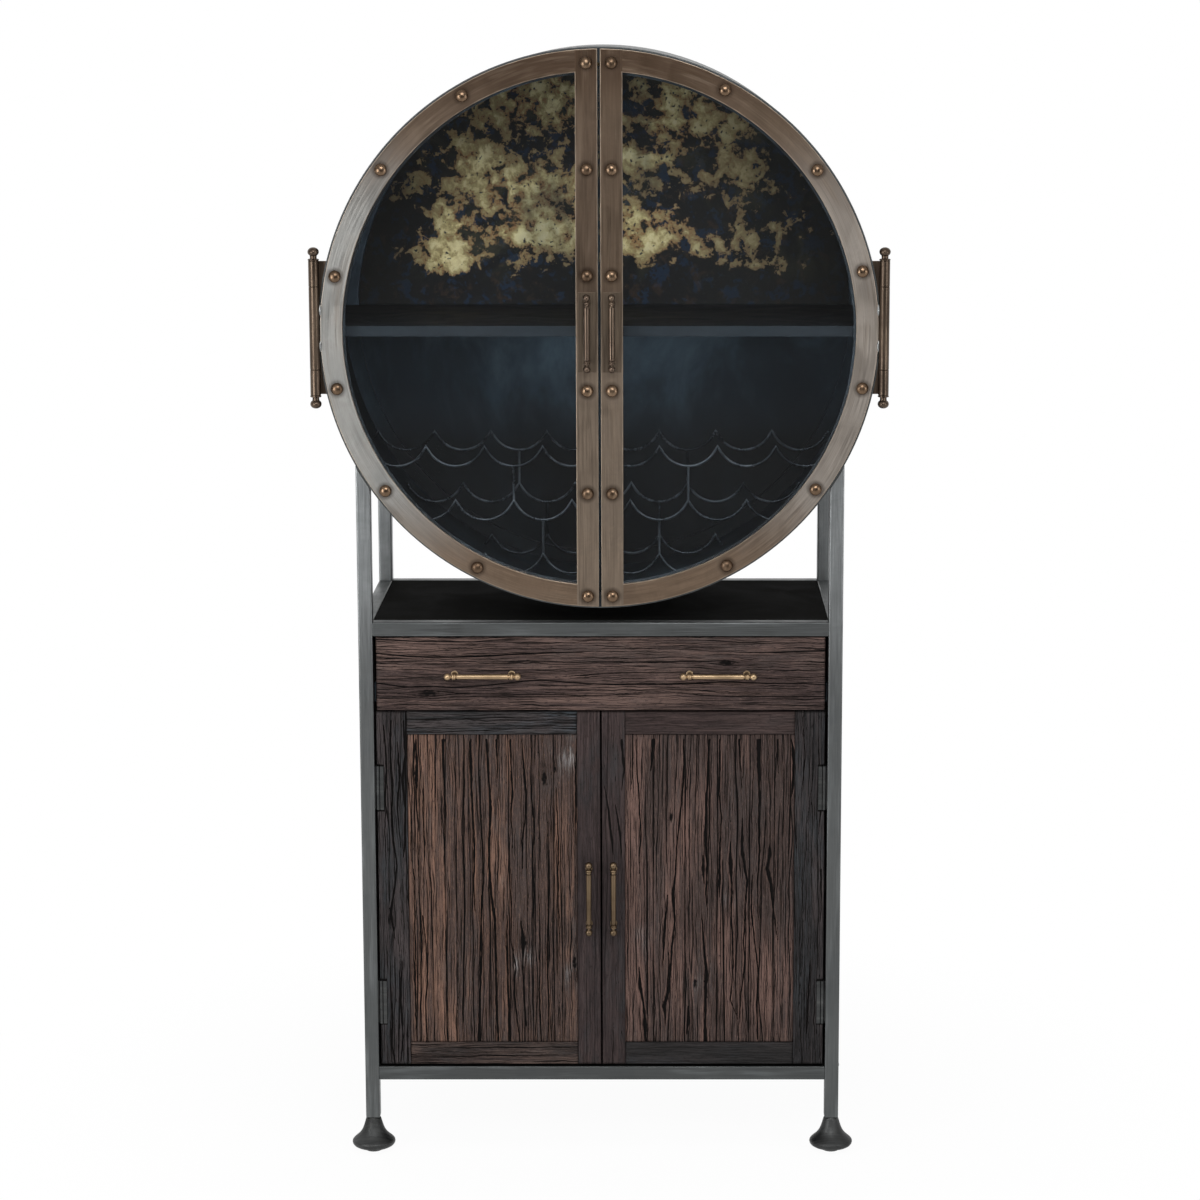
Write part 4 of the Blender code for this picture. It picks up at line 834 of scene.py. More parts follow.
def build_feet():
    """Bell feet: a round neck under the tube flares into a rounded rim over a small glide."""
    profile = [(AXIS, 0.0), (0.0136, 0.0), (0.0147, 0.0004), (0.0153, 0.0015), (0.0158, 0.0035), (0.0170, 0.0048),
               (0.0205, 0.0057), (0.0262, 0.0067), (0.0318, 0.0083), (0.0356, 0.0106), (0.0377, 0.0134),
               (0.0384, 0.0163), (0.0379, 0.0188), (0.0362, 0.0211), (0.0337, 0.0235), (0.0296, 0.0270),
               (0.0260, 0.0305), (0.0228, 0.0345), (0.0199, 0.0395), (0.0175, 0.0455), (0.0158, 0.0510),
               (0.0144, 0.0560), (0.0134, 0.0592), (0.0127, 0.0608), (0.0118, 0.0614), (0.0113, 0.0640), (AXIS, 0.0640)]
    for depth_name, side_name, _ in CORNERS:
        node = f"{depth_name}_{side_name}_foot"
        x, y, _ = middle(node)
        fit(turned(f"{depth_name}_{side_name}_bell", profile, (x, y, 0), 56, 50), IRON, "cabinet", node)


# Drum

def build_drum():
    """Rolled shell, flange, back pan, shelf and mirror."""
    shell = drum_sheet("rolled_shell", DRUM_RADIUS - SHELL_WALL / 2, FRONT, "NOTHING")
    open_piece(shell, "EDGE")
    bpy.ops.mesh.extrude_edges_move(TRANSFORM_OT_translate={"value": (0, BACK - FRONT, 0)})
    close_piece()
    wall = shell.modifiers.new("wall", "SOLIDIFY")
    wall.thickness = SHELL_WALL
    wall.offset = 0
    apply_all(shell)
    face_out(shell)
    soften(shell, 30)
    fit(shell, SLATE, "cabinet", "drum_shell")
    paint_some(shell, GUNMETAL_DEEP,
               lambda spot: (spot - Vector((0, spot.y, CENTRE))).length > DRUM_RADIUS - 0.0012)

    fitted = DRUM_RADIUS - 0.0021
    opening = HOOP_RADIUS - HOOP_WIDTH
    fit(ring_plate("drum_flange", fitted, opening, FRONT, 0.003), SLATE, "cabinet", "drum_front_hoop")
    disc = drum_sheet("pan_disc", fitted, BACK)
    thicken(disc, -0.002)
    rim = ring_plate("pan_rim", fitted, opening, PAN_LOW.y, PAN_HIGH.y - PAN_LOW.y - 0.002)
    pan = joined("back_pan", [disc, rim])
    fit(pan, PAN_PAINT, "cabinet", "drum_back_pan")
    paint_some(pan, GUNMETAL_ACROSS, lambda spot: spot.y > BACK - 0.0005)
    repaint("drum_shelf", SHELF_PAINT)
    mirror = drum_sheet("mirror_sheet", MIRROR_HIGH.z - CENTRE, MIRROR_LOW.y)
    cut_away(mirror, (0, 0, MIRROR_LOW.z), (0, 0, 1))
    thicken(mirror, MIRROR_HIGH.y - MIRROR_LOW.y)
    fit(smooth_plate(mirror), MIRROR, "cabinet", "antique_mirror")


def wire(name, points):
    """A round wire along a line, as a mesh."""
    curve = bpy.data.curves.new(name, "CURVE")
    curve.dimensions = "3D"
    curve.bevel_depth = WIRE_RADIUS
    curve.bevel_resolution = 2
    curve.use_fill_caps = True
    line = curve.splines.new("POLY")
    line.points.add(len(points) - 1)
    for spot, point in zip(line.points, points):
        spot.co = (*point, 1)
    holder = bpy.data.objects.new(name, curve)
    bpy.context.collection.objects.link(holder)
    work_on(holder)
    bpy.ops.object.convert(target="MESH")
    return named(name)


def build_racks():
    """Scalloped wire racks: each row one bent wire, its crests rounded, hung on short struts."""
    inside = DRUM_RADIUS - 0.0033
    half = RACK_PITCH / 2
    curve = (half ** 2 + RACK_SAG ** 2) / (2 * RACK_SAG)
    trough = CENTRE - (DRUM_RADIUS - SHELL_WALL) + 0.0425
    for place in ("front", "rear"):
        y = middle(f"{place}_rack_top_row")[1]
        rows = []
        for row in range(3):
            crest = trough + (2 - row) * RACK_ROW_PITCH + RACK_SAG
            points = []
            for step in range(-220, 221):
                x = step * RACK_PITCH / 24
                across = abs((x / RACK_PITCH - 0.5 * (row % 2)) % 1.0 - 0.5) * RACK_PITCH
                drop = math.sqrt(curve ** 2 - across ** 2) - (curve - RACK_SAG)
                blunt = max(0.0, across - (half - 0.005)) / 0.005
                z = crest - drop - RACK_SAG * 0.06 * blunt ** 2
                if math.hypot(x, z - CENTRE) < inside:
                    points.append((x, y, z))
            rows.append(wire(f"{place}_row_{row}", points))
        struts = []
        for row, head in ((1, trough + 2 * RACK_ROW_PITCH - 0.0025), (2, trough + RACK_ROW_PITCH)):
            x = RACK_PITCH * (1.5 if row % 2 else 1.0)
            foot = trough + (2 - row) * RACK_ROW_PITCH + RACK_SAG * 0.94
            for side_name, side in SIDES:
                struts.append(wire(f"{place}_strut_{row}_{side_name}", [(side * x, y, foot), (side * x, y, head)]))
        lower = joined(f"{place}_lower_wires", rows[1:] + struts)
        for piece, node in ((rows[0], f"{place}_rack_top_row"), (lower, f"{place}_rack_lower_rows")):
            soften(piece, 60)
            fit(piece, WIRE, "cabinet", node)
        rows[0].name = f"{place}_top_wire"


# Drum doors

def arc_points(radius, height, middle_height, angles):
    """Points of a ball's outline at angles over its middle."""
    turns = [math.radians(angle) for angle in angles]
    return [(radius * math.cos(turn), middle_height + height * math.sin(turn)) for turn in turns]


def build_handle_form(name, radius):
    """An upright turned bar on two posts, its mounting face at y = 0."""
    half, finial, reach = 0.0675, 0.0065, 0.024
    profile = []
    for way, thick in ((-1, radius - 0.0006), (1, radius)):
        end = [(AXIS, half)] + arc_points(finial, finial, half - finial, (75, 60, 40, 20, 0, -20, -40, -58))
        end += [(0.0030, 0.0549), (0.0030, 0.0538), (0.0050, 0.0532), (0.0058, 0.0524), (0.0060, 0.0512),
                (0.0056, 0.0500), (0.0048, 0.0494), (0.0054, 0.0488), (0.0054, 0.0474), (0.0046, 0.0468),
                (0.0034, 0.0464), (0.0034, 0.0448), (thick, 0.0442), (thick, 0.0432)]
        points = [(r, way * z) for r, z in end]
        profile += points if way < 0 else points[::-1]
    pieces = [turned("grip", profile, (0, -reach, 0), 28, 45)]
    for way in (-1, 1):
        post = turned("post", [(AXIS, 0.0), (0.0062, 0.0), (0.0062, 0.0012), (0.0046, 0.0022), (0.0034, 0.0040),
                               (0.0032, reach * 0.6), (0.0036, reach), (AXIS, reach)], steps=20, angle=45)
        post.data.transform(Matrix.Translation((0, 0, way * 0.05)) @ Matrix.Rotation(math.pi / 2, 4, "X"))
        pieces.append(post)
    return joined(name, pieces)


def sleeve(name, side, bore, start, end):
    """A knuckle on a drum hinge's axis, its rims chamfered."""
    rim = 0.0006
    return turned(name, [(bore, start), (BARREL - rim, start), (BARREL, start + rim), (BARREL, end - rim),
                         (BARREL - rim, end), (bore, end), (bore, start)], (side * HINGE_X, HINGE_Y, HINGE_Z), 40, 40)


def build_drum_doors():
    """Ring, glass, bead, rivets, welded middle knuckle and handle of each door."""
    handle_form = build_handle_form("drum_handle_form", 0.0056)
    dome = ball("rivet_form", 28, 20)
    open_piece(dome)
    bpy.ops.mesh.bisect(plane_co=(0, 0, 0), plane_no=(0, 0, 1), use_fill=True, clear_inner=True)
    close_piece()
    dome.data.transform(Matrix.Rotation(math.pi / 2, 4, "X") @ Matrix.Diagonal((0.0106, 0.0106, 0.0063, 1)))
    soften(dome, 50)
    for side_name, side in SIDES:
        body = f"{side_name}_drum_door"
        node = f"{side_name}_drum_ring"
        ring = half_plate(f"{side_name}_ring_plate", side, RING_RADIUS, STILE_EDGE, RING_FACE, RING_THICKNESS, RING_BAR,
                          0.0008)
        fit(ring, RINGS[side_name], body, node)
        for part, name, edge, width, rounding, material in (("drum_glass", "pane", 0.0008, None, 0, GLASS),
                                                            ("glass_bead", "bead", 0.0003, 0.0125, 0.0006, SLATE)):
            low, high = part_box(f"{side_name}_{part}")
            plate = half_plate(f"{side_name}_{name}", side, max(abs(low.x), abs(high.x)), edge, low.y, high.y - low.y,
                               width, rounding)
            fit(plate, material, body, f"{side_name}_{part}")
        for number, (x, z) in enumerate(rivet_places(side_name), 1):
            rivet = copied(dome, f"{side_name}_rivet_{number}", Matrix.Translation((x, RING_FACE, z)))
            fit(rivet, RIVET_BRONZE, body, node, "aged_bronze")
        fit(sleeve(f"{side_name}_middle_knuckle", side, 0.0041, -MIDDLE_KNUCKLE, MIDDLE_KNUCKLE), BRONZE, body, node)
        for label, way in LEVELS:
            height = HINGE_Z + way * 0.031
            edge = math.sqrt(RING_RADIUS ** 2 - (height - CENTRE) ** 2)
            weld = ball(f"{side_name}_{label}_weld", 24, 16, scale=(0.0032, 0.0036, 0.010),
                        location=(side * (edge + HINGE_X - BARREL) / 2, HINGE_Y, height))
            for vertex in weld.data.vertices:
                wave = 1 + 0.14 * math.sin(vertex.co.z * 2100) + 0.08 * math.sin(vertex.co.z * 900 + 1)
                vertex.co.y = HINGE_Y + (vertex.co.y - HINGE_Y) * wave
            soften(weld, 60)
            fit(weld, WELD, body, node)
        node = f"{side_name}_drum_handle"
        low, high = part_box(node)
        x, _, z = middle(node)
        mount = high.y - 0.0015
        fit(copied(handle_form, f"{side_name}_drum_bar", Matrix.Translation((x, mount, z))), DARK_BRASS, body, node)
        plate = bar(f"{side_name}_handle_plate", (low.x, mount, z - PLATE_HALF), (high.x, high.y, z + PLATE_HALF),
                    0.0005)
        fit(plate, PLATE_BRONZE, body, node)
    for form in (dome, handle_form):
        bpy.data.objects.remove(form)


def build_drum_hinges():
    """Fixed leaf with two outer knuckles, and a turned pin with ball finials."""
    depth = 0.004
    outside = HINGE_X + BARREL
    inner = DRUM_RADIUS - 0.004
    for side_name, side in SIDES:
        node = f"{side_name}_hinge_leaf"
        knuckle_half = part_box(node)[1].z - HINGE_Z
        leaf = block(f"{side_name}_leaf_plate", (side * (outside + inner) / 2, HINGE_Y + 0.0088 + depth / 2, HINGE_Z),
                     (outside - inner, depth, 2 * knuckle_half - 0.002))
        slice_up(leaf, [(0, 0, HINGE_Z + (knuckle_half - 0.001) * (step / 8 - 1)) for step in range(1, 16)], (0, 0, 1))
        for vertex in leaf.data.vertices:
            if abs(vertex.co.x) < DRUM_RADIUS:
                vertex.co.x = side * math.sqrt((DRUM_RADIUS + 0.0002) ** 2 - (vertex.co.z - CENTRE) ** 2)
        fit(smooth_plate(leaf, 0.0004), BRONZE, "cabinet", node)
        for label, way in LEVELS:
            start, end = span(way, MIDDLE_KNUCKLE + 0.0003, knuckle_half)
            fit(sleeve(f"{side_name}_{label}_knuckle", side, 0.0042, start, end), BRONZE, "cabinet", node)
        node = f"{side_name}_hinge_pin"
        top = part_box(node)[1].z - HINGE_Z
        collar = knuckle_half + 0.0003
        end = [(0.0038, collar - 0.004), (0.0038, collar), (0.0088, collar), (0.0096, collar + 0.0008),
               (0.0096, collar + 0.0022), (0.0084, collar + 0.0030), (0.0058, collar + 0.0036),
               (0.0058, collar + 0.0042)]
        end += arc_points(0.0098, 0.0080, top - 0.0080, (-52, -35, -18, 0, 18, 35, 52, 70)) + [(AXIS, top - 0.0001)]
        profile = [(r, -z) for r, z in end[::-1]] + end
        pin = turned(f"{side_name}_turned_pin", profile, (side * HINGE_X, HINGE_Y, HINGE_Z), 36, 40)
        fit(pin, BRONZE, "cabinet", node)


# Rough wood

def lattice(u, v, seed):
    """Smooth random values from 0 to 1 over a plane."""
    table = np.random.default_rng(seed).random((128, 128))
    iu, iv = np.floor(u).astype(int), np.floor(v).astype(int)
    fu, fv = u - iu, v - iv
    fu, fv = fu * fu * (3 - 2 * fu), fv * fv * (3 - 2 * fv)
    a, b = table[iu % 128, iv % 128], table[(iu + 1) % 128, iv % 128]
    c, d = table[iu % 128, (iv + 1) % 128], table[(iu + 1) % 128, (iv + 1) % 128]
    return (a * (1 - fu) + b * fu) * (1 - fv) + (c * (1 - fu) + d * fu) * fv


def layered(u, v, seed, layers=3):
    total, weight, size = 0, 0, 1.0
    for layer in range(layers):
        total = total + lattice(u / size, v / size, seed + layer) * size
        weight += size
        size /= 2
    return total / weight


def step_up(value, low, high):
    share = np.clip((value - low) / (high - low), 0, 1)
    return share * share * (3 - 2 * share)


def long_cracks(w, t, spacing, length, widest, seed, shut):
    """1 in the middle of long cracks that run along t and open and close, fading to 0 at their sides."""
    chance = np.random.default_rng(seed).random((3, 997))
    best = np.zeros_like(w)
    for step in (-1, 0, 1):
        number = np.floor(w / spacing).astype(int) + step
        pick = number % 997
        centre = (number + 0.25 + 0.5 * chance[0][pick]) * spacing
        centre = centre + spacing * 0.9 * (layered(t / (length * 0.6), number * 3.7, seed + 1, 2) - 0.5)
        opening = step_up(layered(t / length, number * 5.3, seed + 2, 2), shut, shut + 0.22)
        width = widest * (0.3 + 0.7 * chance[1][pick]) * opening + 0.00001
        best = np.maximum(best, np.clip(1.15 - np.abs(w - centre) / width, 0, 1) * np.minimum(1, opening * 4))
    return best


def torn(x, z, tears, seed):
    """Share of crack and of pale rim round lines of (x, height over the drum's centre, width in 0.6 mm)."""
    crack, rim = np.zeros_like(x), np.zeros_like(x)
    for number, (east, height, wide) in enumerate(tears):
        along = CENTRE + height
        centre = np.interp(z, along, east) + 0.0016 * (layered(z / 0.014, z * 0 + number, seed) - 0.5)
        width = np.interp(z, along, wide * 0.0004, left=0.00001, right=0.00001)
        width = width * (0.55 + 0.9 * layered(z / 0.009, z * 0 + number, seed + 9))
        far = np.abs(x - centre) / width
        crack = np.maximum(crack, np.clip(1.35 - far, 0, 1))
        rim = np.maximum(rim, np.clip(2.6 - far, 0, 1) * (width > 0.0003))
    return crack, rim


def spots_near(x, z, spots):
    """Share from 0 to 1 close to spots of (x, height, half width, half height, strength) in mm."""
    total = np.zeros_like(x)
    for east, height, wide, tall, strength in spots:
        far = ((x * 1000 - east) / wide) ** 2 + (((z - CENTRE) * 1000 - height) / tall) ** 2
        total = total + strength * np.exp(-far)
    return total


# How far the relief is moved along its axes, so that no coordinate is negative
BOARD_S, BOARD_T = 3, 5


def wood_relief(s, t, seed, joints=(), knots=(), cracking=1.0, tears=(), glows=()):
    """Depth in metres, crack share, tone and sideways sway of old wood; s runs across the grain and t along it."""
    sway = 0.0065 * (layered(s / 0.11, t / 0.34, seed) - 0.5) + 0.0028 * (layered(s / 0.025, t / 0.075, seed + 5) - 0.5)
    knot_dark = np.zeros_like(s)
    for ks, kt, size in knots:
        far = np.sqrt(((s - ks) / size) ** 2 + ((t - kt) / (size * 2.6)) ** 2)
        sway = sway + np.sign(s - ks) * -0.55 * size * np.exp(-far ** 2 * 0.55)
        knot_dark = np.maximum(knot_dark, 1.7 * np.exp(-(far / 0.62) ** 2) * layered(s / 0.003, t / 0.004, seed + 3))
    w = s + sway
    broad = long_cracks(w, t, 0.021, 0.34, 0.0021, seed + 11, 0.44)
    thin = long_cracks(w, t, 0.0078, 0.15, 0.0014, seed + 23, 0.47)
    ridges = layered(w / 0.0052, t / 0.11, seed + 31, 3)
    plank_tone = np.zeros_like(s)
    groove = np.zeros_like(s)
    for number, (joint, width, deep) in enumerate(joints):
        line = joint + 0.0022 * (layered(t / 0.09, t * 0 + number, seed + 41 + number) - 0.5)
        size = width * (0.35 + 1.3 * layered(t / 0.07, t * 0 + number, seed + 61 + number))
        groove = np.maximum(groove, deep * step_up(1 - np.abs(s - line) / size, 0.0, 0.75))
        plank_tone = plank_tone + np.where(s > joint, (((number * 37 + seed) % 11) / 11 - 0.5) * 0.8, 0)
    ripped, rim = torn(s - BOARD_S, t - BOARD_T, tears, seed + 91)
    crack = np.clip(np.maximum.reduce([broad, thin * 0.9, groove, knot_dark]) * cracking, 0, 1)
    crack = np.maximum(crack, ripped)
    depth = 0.0026 * np.clip(np.maximum.reduce([broad, groove, ripped, knot_dark * 0.5]), 0, 1) + 0.0010 * thin
    depth = depth * min(cracking, 1.0) + 0.0007 * (1 - ridges) + 0.0006 * (1 - layered(s / 0.03, t / 0.2, seed + 51))
    warmth = layered(s / 0.07, t / 0.28, seed + 81) - 0.5
    # The rim term paints the crack edges paler: partly wear, partly painted highlight
    tone = 0.5 + 0.7 * (ridges - 0.5) + plank_tone * 0.4 + warmth * 1.1 + rim * 0.35
    tone = np.clip(tone + spots_near(s - BOARD_S, t - BOARD_T, glows), 0, 1.2)
    return depth, crack, tone, sway


# Spacing of a carved front's points along the grain (narrow boards, panels) and across it
COARSE_STEP, PANEL_STEP, FINE_STEP = 0.0042, 0.0025, 0.0008
PLAIN_BACK = {"crack": 0.0, "tone": 0.5, "sway": 0.0, "scar": 0.0}


def rough_board(name, low, high, along, seed, material, body, node, joints=(), knots=(), cracking=1.0, notches=(),
                tears=(), glows=(), scars=()):
    """A board with its front carved: dense sheet, pushed in by the relief, its edges run back to a flat back."""
    low, high = Vector(low), Vector(high)
    width, height = high.x - low.x, high.z - low.z
    step = COARSE_STEP if width < 0.1 or along == "x" else PANEL_STEP
    columns = round(width / (step if along == "x" else FINE_STEP))
    rows = round(height / (FINE_STEP if along == "x" else step))
    deselect()
    bpy.ops.mesh.primitive_grid_add(x_subdivisions=columns, y_subdivisions=rows, size=1,
                                    location=((low.x + high.x) / 2, low.y, (low.z + high.z) / 2),
                                    rotation=(math.pi / 2, 0, 0))
    bpy.context.object.scale = (width, height, 1)
    piece = settled(name)
    mesh = piece.data
    points = np.empty(len(mesh.vertices) * 3)
    mesh.vertices.foreach_get("co", points)
    points = points.reshape(-1, 3)
    x, z = points[:, 0], points[:, 2]
    s, t = (z, x) if along == "x" else (x, z)
    depth, crack, tone, sway = wood_relief(s + BOARD_S, t + BOARD_T, seed, [(j + BOARD_S, w, d) for j, w, d in joints],
                                           [(a + BOARD_S, b + BOARD_T, c) for a, b, c in knots], cracking, tears,
                                           glows)
    edge = np.minimum.reduce([x - low.x, high.x - x, z - low.z, high.z - z])
    ragged = 0.0018 * (0.5 + layered((x + 9) / 0.02, (z + 9) / 0.02, seed + 71))
    drop = np.clip(1 - edge / ragged, 0, 1) ** 2
    depth = depth + 0.0014 * drop
    # Painted shade: the crack colour darkens the board's edges where it meets its neighbours
    crack = np.maximum(crack, 0.35 * drop)
    # The hinge notches take the crack colour, a painted shade in the recess
    for x_one, x_two, z_one, z_two, deep in notches:
        inside = (x > x_one) & (x < x_two) & (z > z_one) & (z < z_two)
        depth = np.where(inside, deep, depth)
        crack = np.where(inside, 1.0, crack)
    carved = {"crack": crack, "tone": tone, "sway": sway, "scar": spots_near(x, z, scars)}
    points[:, 1] = low.y + depth
    mesh.vertices.foreach_set("co", points.ravel())
    for label, values in carved.items():
        mesh.attributes.new(label, "FLOAT", "POINT").data.foreach_set("value", values.astype(np.float32))
    open_piece(piece, "EDGE", "DESELECT")
    bpy.ops.mesh.select_non_manifold(extend=False, use_wire=False, use_boundary=True, use_multi_face=False,
                                     use_non_contiguous=False, use_verts=False)
    bpy.ops.mesh.extrude_edges_move(TRANSFORM_OT_translate={"value": (0, high.y - low.y + 0.01, 0)})
    bpy.ops.mesh.edge_face_add()
    close_piece()
    for vertex in mesh.vertices:
        if vertex.co.y > high.y + 0.001:
            vertex.co.y = high.y
            for label, value in PLAIN_BACK.items():
                mesh.attributes[label].data[vertex.index].value = value
    face_out(piece)
    soften(piece, 75)
    fit(piece, material, body, node)


# Long cracks of the boards, each a run of x, depth below the drum's centre and width, in mm, mm and 0.6 mm
TEARS = {
    ("left", "planks"): (
        (229, 717, 5, 229, 769, 6, 228, 817, 5, 226, 866, 4, 224, 914, 4, 226, 975, 3, 224, 1030, 2),
        (201, 717, 5, 198, 781, 5, 195, 842, 6, 198, 902, 5, 199, 945, 4, 195, 999, 5, 189, 1048, 6, 188, 1108, 5,
         188, 1181, 5, 185, 1269, 5),
        (213, 999, 2, 214, 1048, 3, 213, 1096, 5, 215, 1157, 4, 219, 1218, 4, 220, 1269, 4),
        (167, 1036, 2, 168, 1084, 4, 167, 1145, 4, 166, 1205, 5, 164, 1269, 5),
        (277, 717, 8, 278, 763, 5, 276, 799, 3, 274, 842, 3, 275, 914, 1),
        (325, 717, 3, 324, 763, 6, 325, 781, 6, 326, 817, 3, 323, 872, 3, 324, 926, 1),
        (313, 781, 1, 314, 842, 3, 312, 914, 3, 316, 987, 1),
        (184, 717, 4, 182, 769, 3, 185, 805, 1),
        (159, 717, 4, 158, 769, 3, 156, 811, 5, 159, 860, 3, 156, 914, 1),
        (139, 717, 2, 136, 769, 4, 132, 817, 5, 133, 854, 3, 140, 902, 4, 139, 951, 2),
        (125, 769, 1, 123, 817, 3, 118, 878, 3, 122, 939, 3, 119, 999, 4, 121, 1048, 1),
        (42, 717, 3, 44, 769, 3, 44, 842, 5, 46, 890, 1),
        (160, 951, 1, 160, 1023, 3, 161, 1084, 2, 153, 1133, 3, 156, 1181, 4, 151, 1230, 3, 146, 1269, 2),
        (143, 1048, 3, 139, 1084, 8, 140, 1120, 3, 139, 1181, 4, 135, 1242, 3),
        (318, 1036, 3, 312, 1084, 2, 310, 1145, 3, 314, 1205, 3, 312, 1269, 3),
        (111, 999, 1, 109, 1084, 3, 111, 1175, 3, 108, 1269, 2),
        (95, 1023, 1, 97, 1120, 3, 94, 1205, 3, 96, 1269, 2),
        (79, 805, 2, 76, 902, 3, 77, 999, 3, 75, 1084, 1),
        (332, 951, 2, 331, 1084, 3, 332, 1205, 3, 330, 1269, 3),
    ),
    ("left", "hinge_stile"): (
        (368, 684, 3, 370, 757, 5, 366, 799, 4, 369, 842, 4, 367, 902, 5, 361, 945, 4, 368, 999, 4, 373, 1036, 6,
         366, 1084, 1),
        (346, 684, 4, 344, 745, 4, 349, 793, 5, 345, 842, 3, 346, 890, 5, 349, 933, 2),
        (381, 690, 3, 377, 763, 4, 380, 829, 4, 376, 866, 1),
        (358, 720, 2, 354, 781, 4, 359, 842, 4, 354, 914, 1),
        (340, 933, 2, 342, 999, 4, 339, 1048, 1),
        (376, 1163, 2, 373, 1224, 4, 375, 1278, 3, 370, 1311, 3),
        (354, 1120, 2, 358, 1193, 4, 355, 1254, 3, 359, 1308, 2),
        (345, 1205, 1, 347, 1266, 3, 345, 1308, 2),
    ),
    ("right", "planks"): (
        (191, 717, 4, 188, 775, 4, 186, 829, 6, 184, 902, 5, 187, 951, 5, 185, 999, 4, 188, 1030, 1),
        (178, 1036, 2, 182, 1096, 5, 187, 1145, 6, 185, 1193, 5, 184, 1242, 6, 185, 1272, 8),
        (209, 717, 4, 209, 769, 4, 208, 817, 3, 212, 860, 3, 210, 920, 4, 209, 975, 6, 210, 1005, 1),
        (277, 717, 9, 277, 763, 7, 279, 811, 4, 278, 860, 4, 280, 920, 4, 276, 975, 3, 278, 1048, 1),
        (145, 717, 3, 146, 769, 4, 143, 817, 4, 138, 866, 4, 133, 914, 3, 131, 963, 3, 127, 999, 7, 130, 1048, 4,
         124, 1102, 5, 122, 1145, 5, 119, 1175, 9, 112, 1205, 7, 113, 1242, 1),
        (92, 717, 9, 90, 751, 6, 88, 775, 1),
        (228, 902, 2, 228, 939, 10, 231, 981, 4, 230, 1036, 3, 233, 1084, 4, 234, 1133, 3, 229, 1193, 3, 243, 1230, 1),
        (249, 860, 2, 249, 920, 8, 258, 975, 5, 255, 1023, 3, 252, 1084, 3, 255, 1120, 4, 249, 1175, 3, 245, 1224, 2),
        (335, 717, 3, 339, 751, 7, 338, 799, 6, 336, 823, 1),
        (298, 902, 1, 298, 926, 8, 293, 951, 7, 301, 981, 8, 304, 1023, 3, 313, 1084, 1),
        (62, 717, 2, 63, 769, 3, 66, 811, 3, 70, 890, 3, 67, 963, 1),
        (67, 1133, 2, 68, 1168, 8, 75, 1205, 4, 77, 1239, 9, 77, 1269, 3),
        (118, 999, 2, 113, 1048, 5, 110, 1096, 5, 109, 1139, 1),
        (311, 717, 4, 311, 751, 3, 312, 781, 1),
        (243, 717, 5, 245, 757, 4, 248, 805, 1),
        (268, 963, 1, 265, 1023, 4, 272, 1084, 3, 279, 1145, 3, 276, 1205, 4, 278, 1266, 2),
        (180, 926, 2, 180, 949, 7, 182, 981, 1),
        (154, 1205, 2, 154, 1233, 9, 151, 1257, 2),
    ),
    ("right", "hinge_stile"): (
        (383, 732, 1, 385, 781, 4, 388, 842, 4, 383, 890, 1),
        (342, 817, 2, 340, 842, 4, 345, 914, 2),
        (371, 1120, 2, 368, 1181, 4, 366, 1254, 2),
        (388, 951, 4, 390, 999, 3, 388, 1048, 1),
        (355, 696, 1, 359, 751, 3, 353, 817, 1),
    ),
    ("right", "meeting_stile"): (
        (6, 799, 2, 15, 860, 5, 19, 902, 5, 21, 926, 1),
        (25, 835, 2, 32, 878, 5, 36, 920, 4, 35, 933, 1),
        (36, 717, 6, 41, 769, 5, 36, 811, 1),
        (21, 1242, 1, 19, 1315, 3),
    ),
}
# Plank joints as (x, width, depth share) in m; knots as (x, height, size), glows and scars as for spots_near, in mm
PLANKS = {
    "left": {
        "joints": ((-0.322, 0.0012, 0.6), (-0.276, 0.0012, 0.7), (-0.228, 0.0012, 0.5), (-0.197, 0.0012, 0.5),
                   (-0.163, 0.0014, 0.8), (-0.122, 0.0014, 0.7), (-0.084, 0.0014, 0.7)),
        "knots": ((-325, -775, 7), (-100, -788, 8), (-81, -772, 5), (-139, -1087, 9), (-48, -1124, 7)),
        "glows": ((-272, -1242, 14, 60, 0.5), (-190, -920, 10, 50, 0.4), (-173, -939, 10, 60, 0.4),
                  (-321, -793, 10, 60, 0.4), (-53, -1220, 14, 60, 0.5), (-60, -1111, 12, 22, 0.6),
                  (-173, -1190, 8, 90, 0.4), (-318, -1150, 10, 120, 0.35), (-59, -1010, 14, 60, 0.3),
                  (-130, -880, 26, 150, -0.35), (-140, -1160, 14, 110, -0.3)),
        "scars": ((-129, -1110, 9, 14, 0.9), (-152, -1130, 6, 16, 0.8), (-51, -1148, 12, 18, 0.8),
                  (-62, -751, 16, 26, 0.55), (-190, -975, 14, 10, 0.35), (-48, -740, 8, 30, 0.4)),
    },
    "right": {
        "joints": ((0.092, 0.0014, 0.7), (0.148, 0.0016, 0.8), (0.205, 0.0016, 0.8), (0.262, 0.0014, 0.8),
                   (0.305, 0.0012, 0.6)),
        "knots": ((123, -857, 5), (228, -940, 6), (249, -922, 5), (209, -975, 5), (127, -995, 5), (180, -949, 4),
                  (119, -1175, 6), (111, -1205, 6), (167, -1163, 6), (154, -1233, 5), (77, -1239, 5), (68, -1168, 4),
                  (293, -951, 5), (301, -981, 5)),
        "glows": ((95, -830, 25, 100, -0.65), (300, -1150, 22, 110, 0.25), (240, -800, 20, 60, -0.15)),
        "scars": ((72, -1078, 12, 18, 0.5), (158, -1160, 16, 14, 0.3), (225, -1010, 10, 12, 0.3)),
    },
}


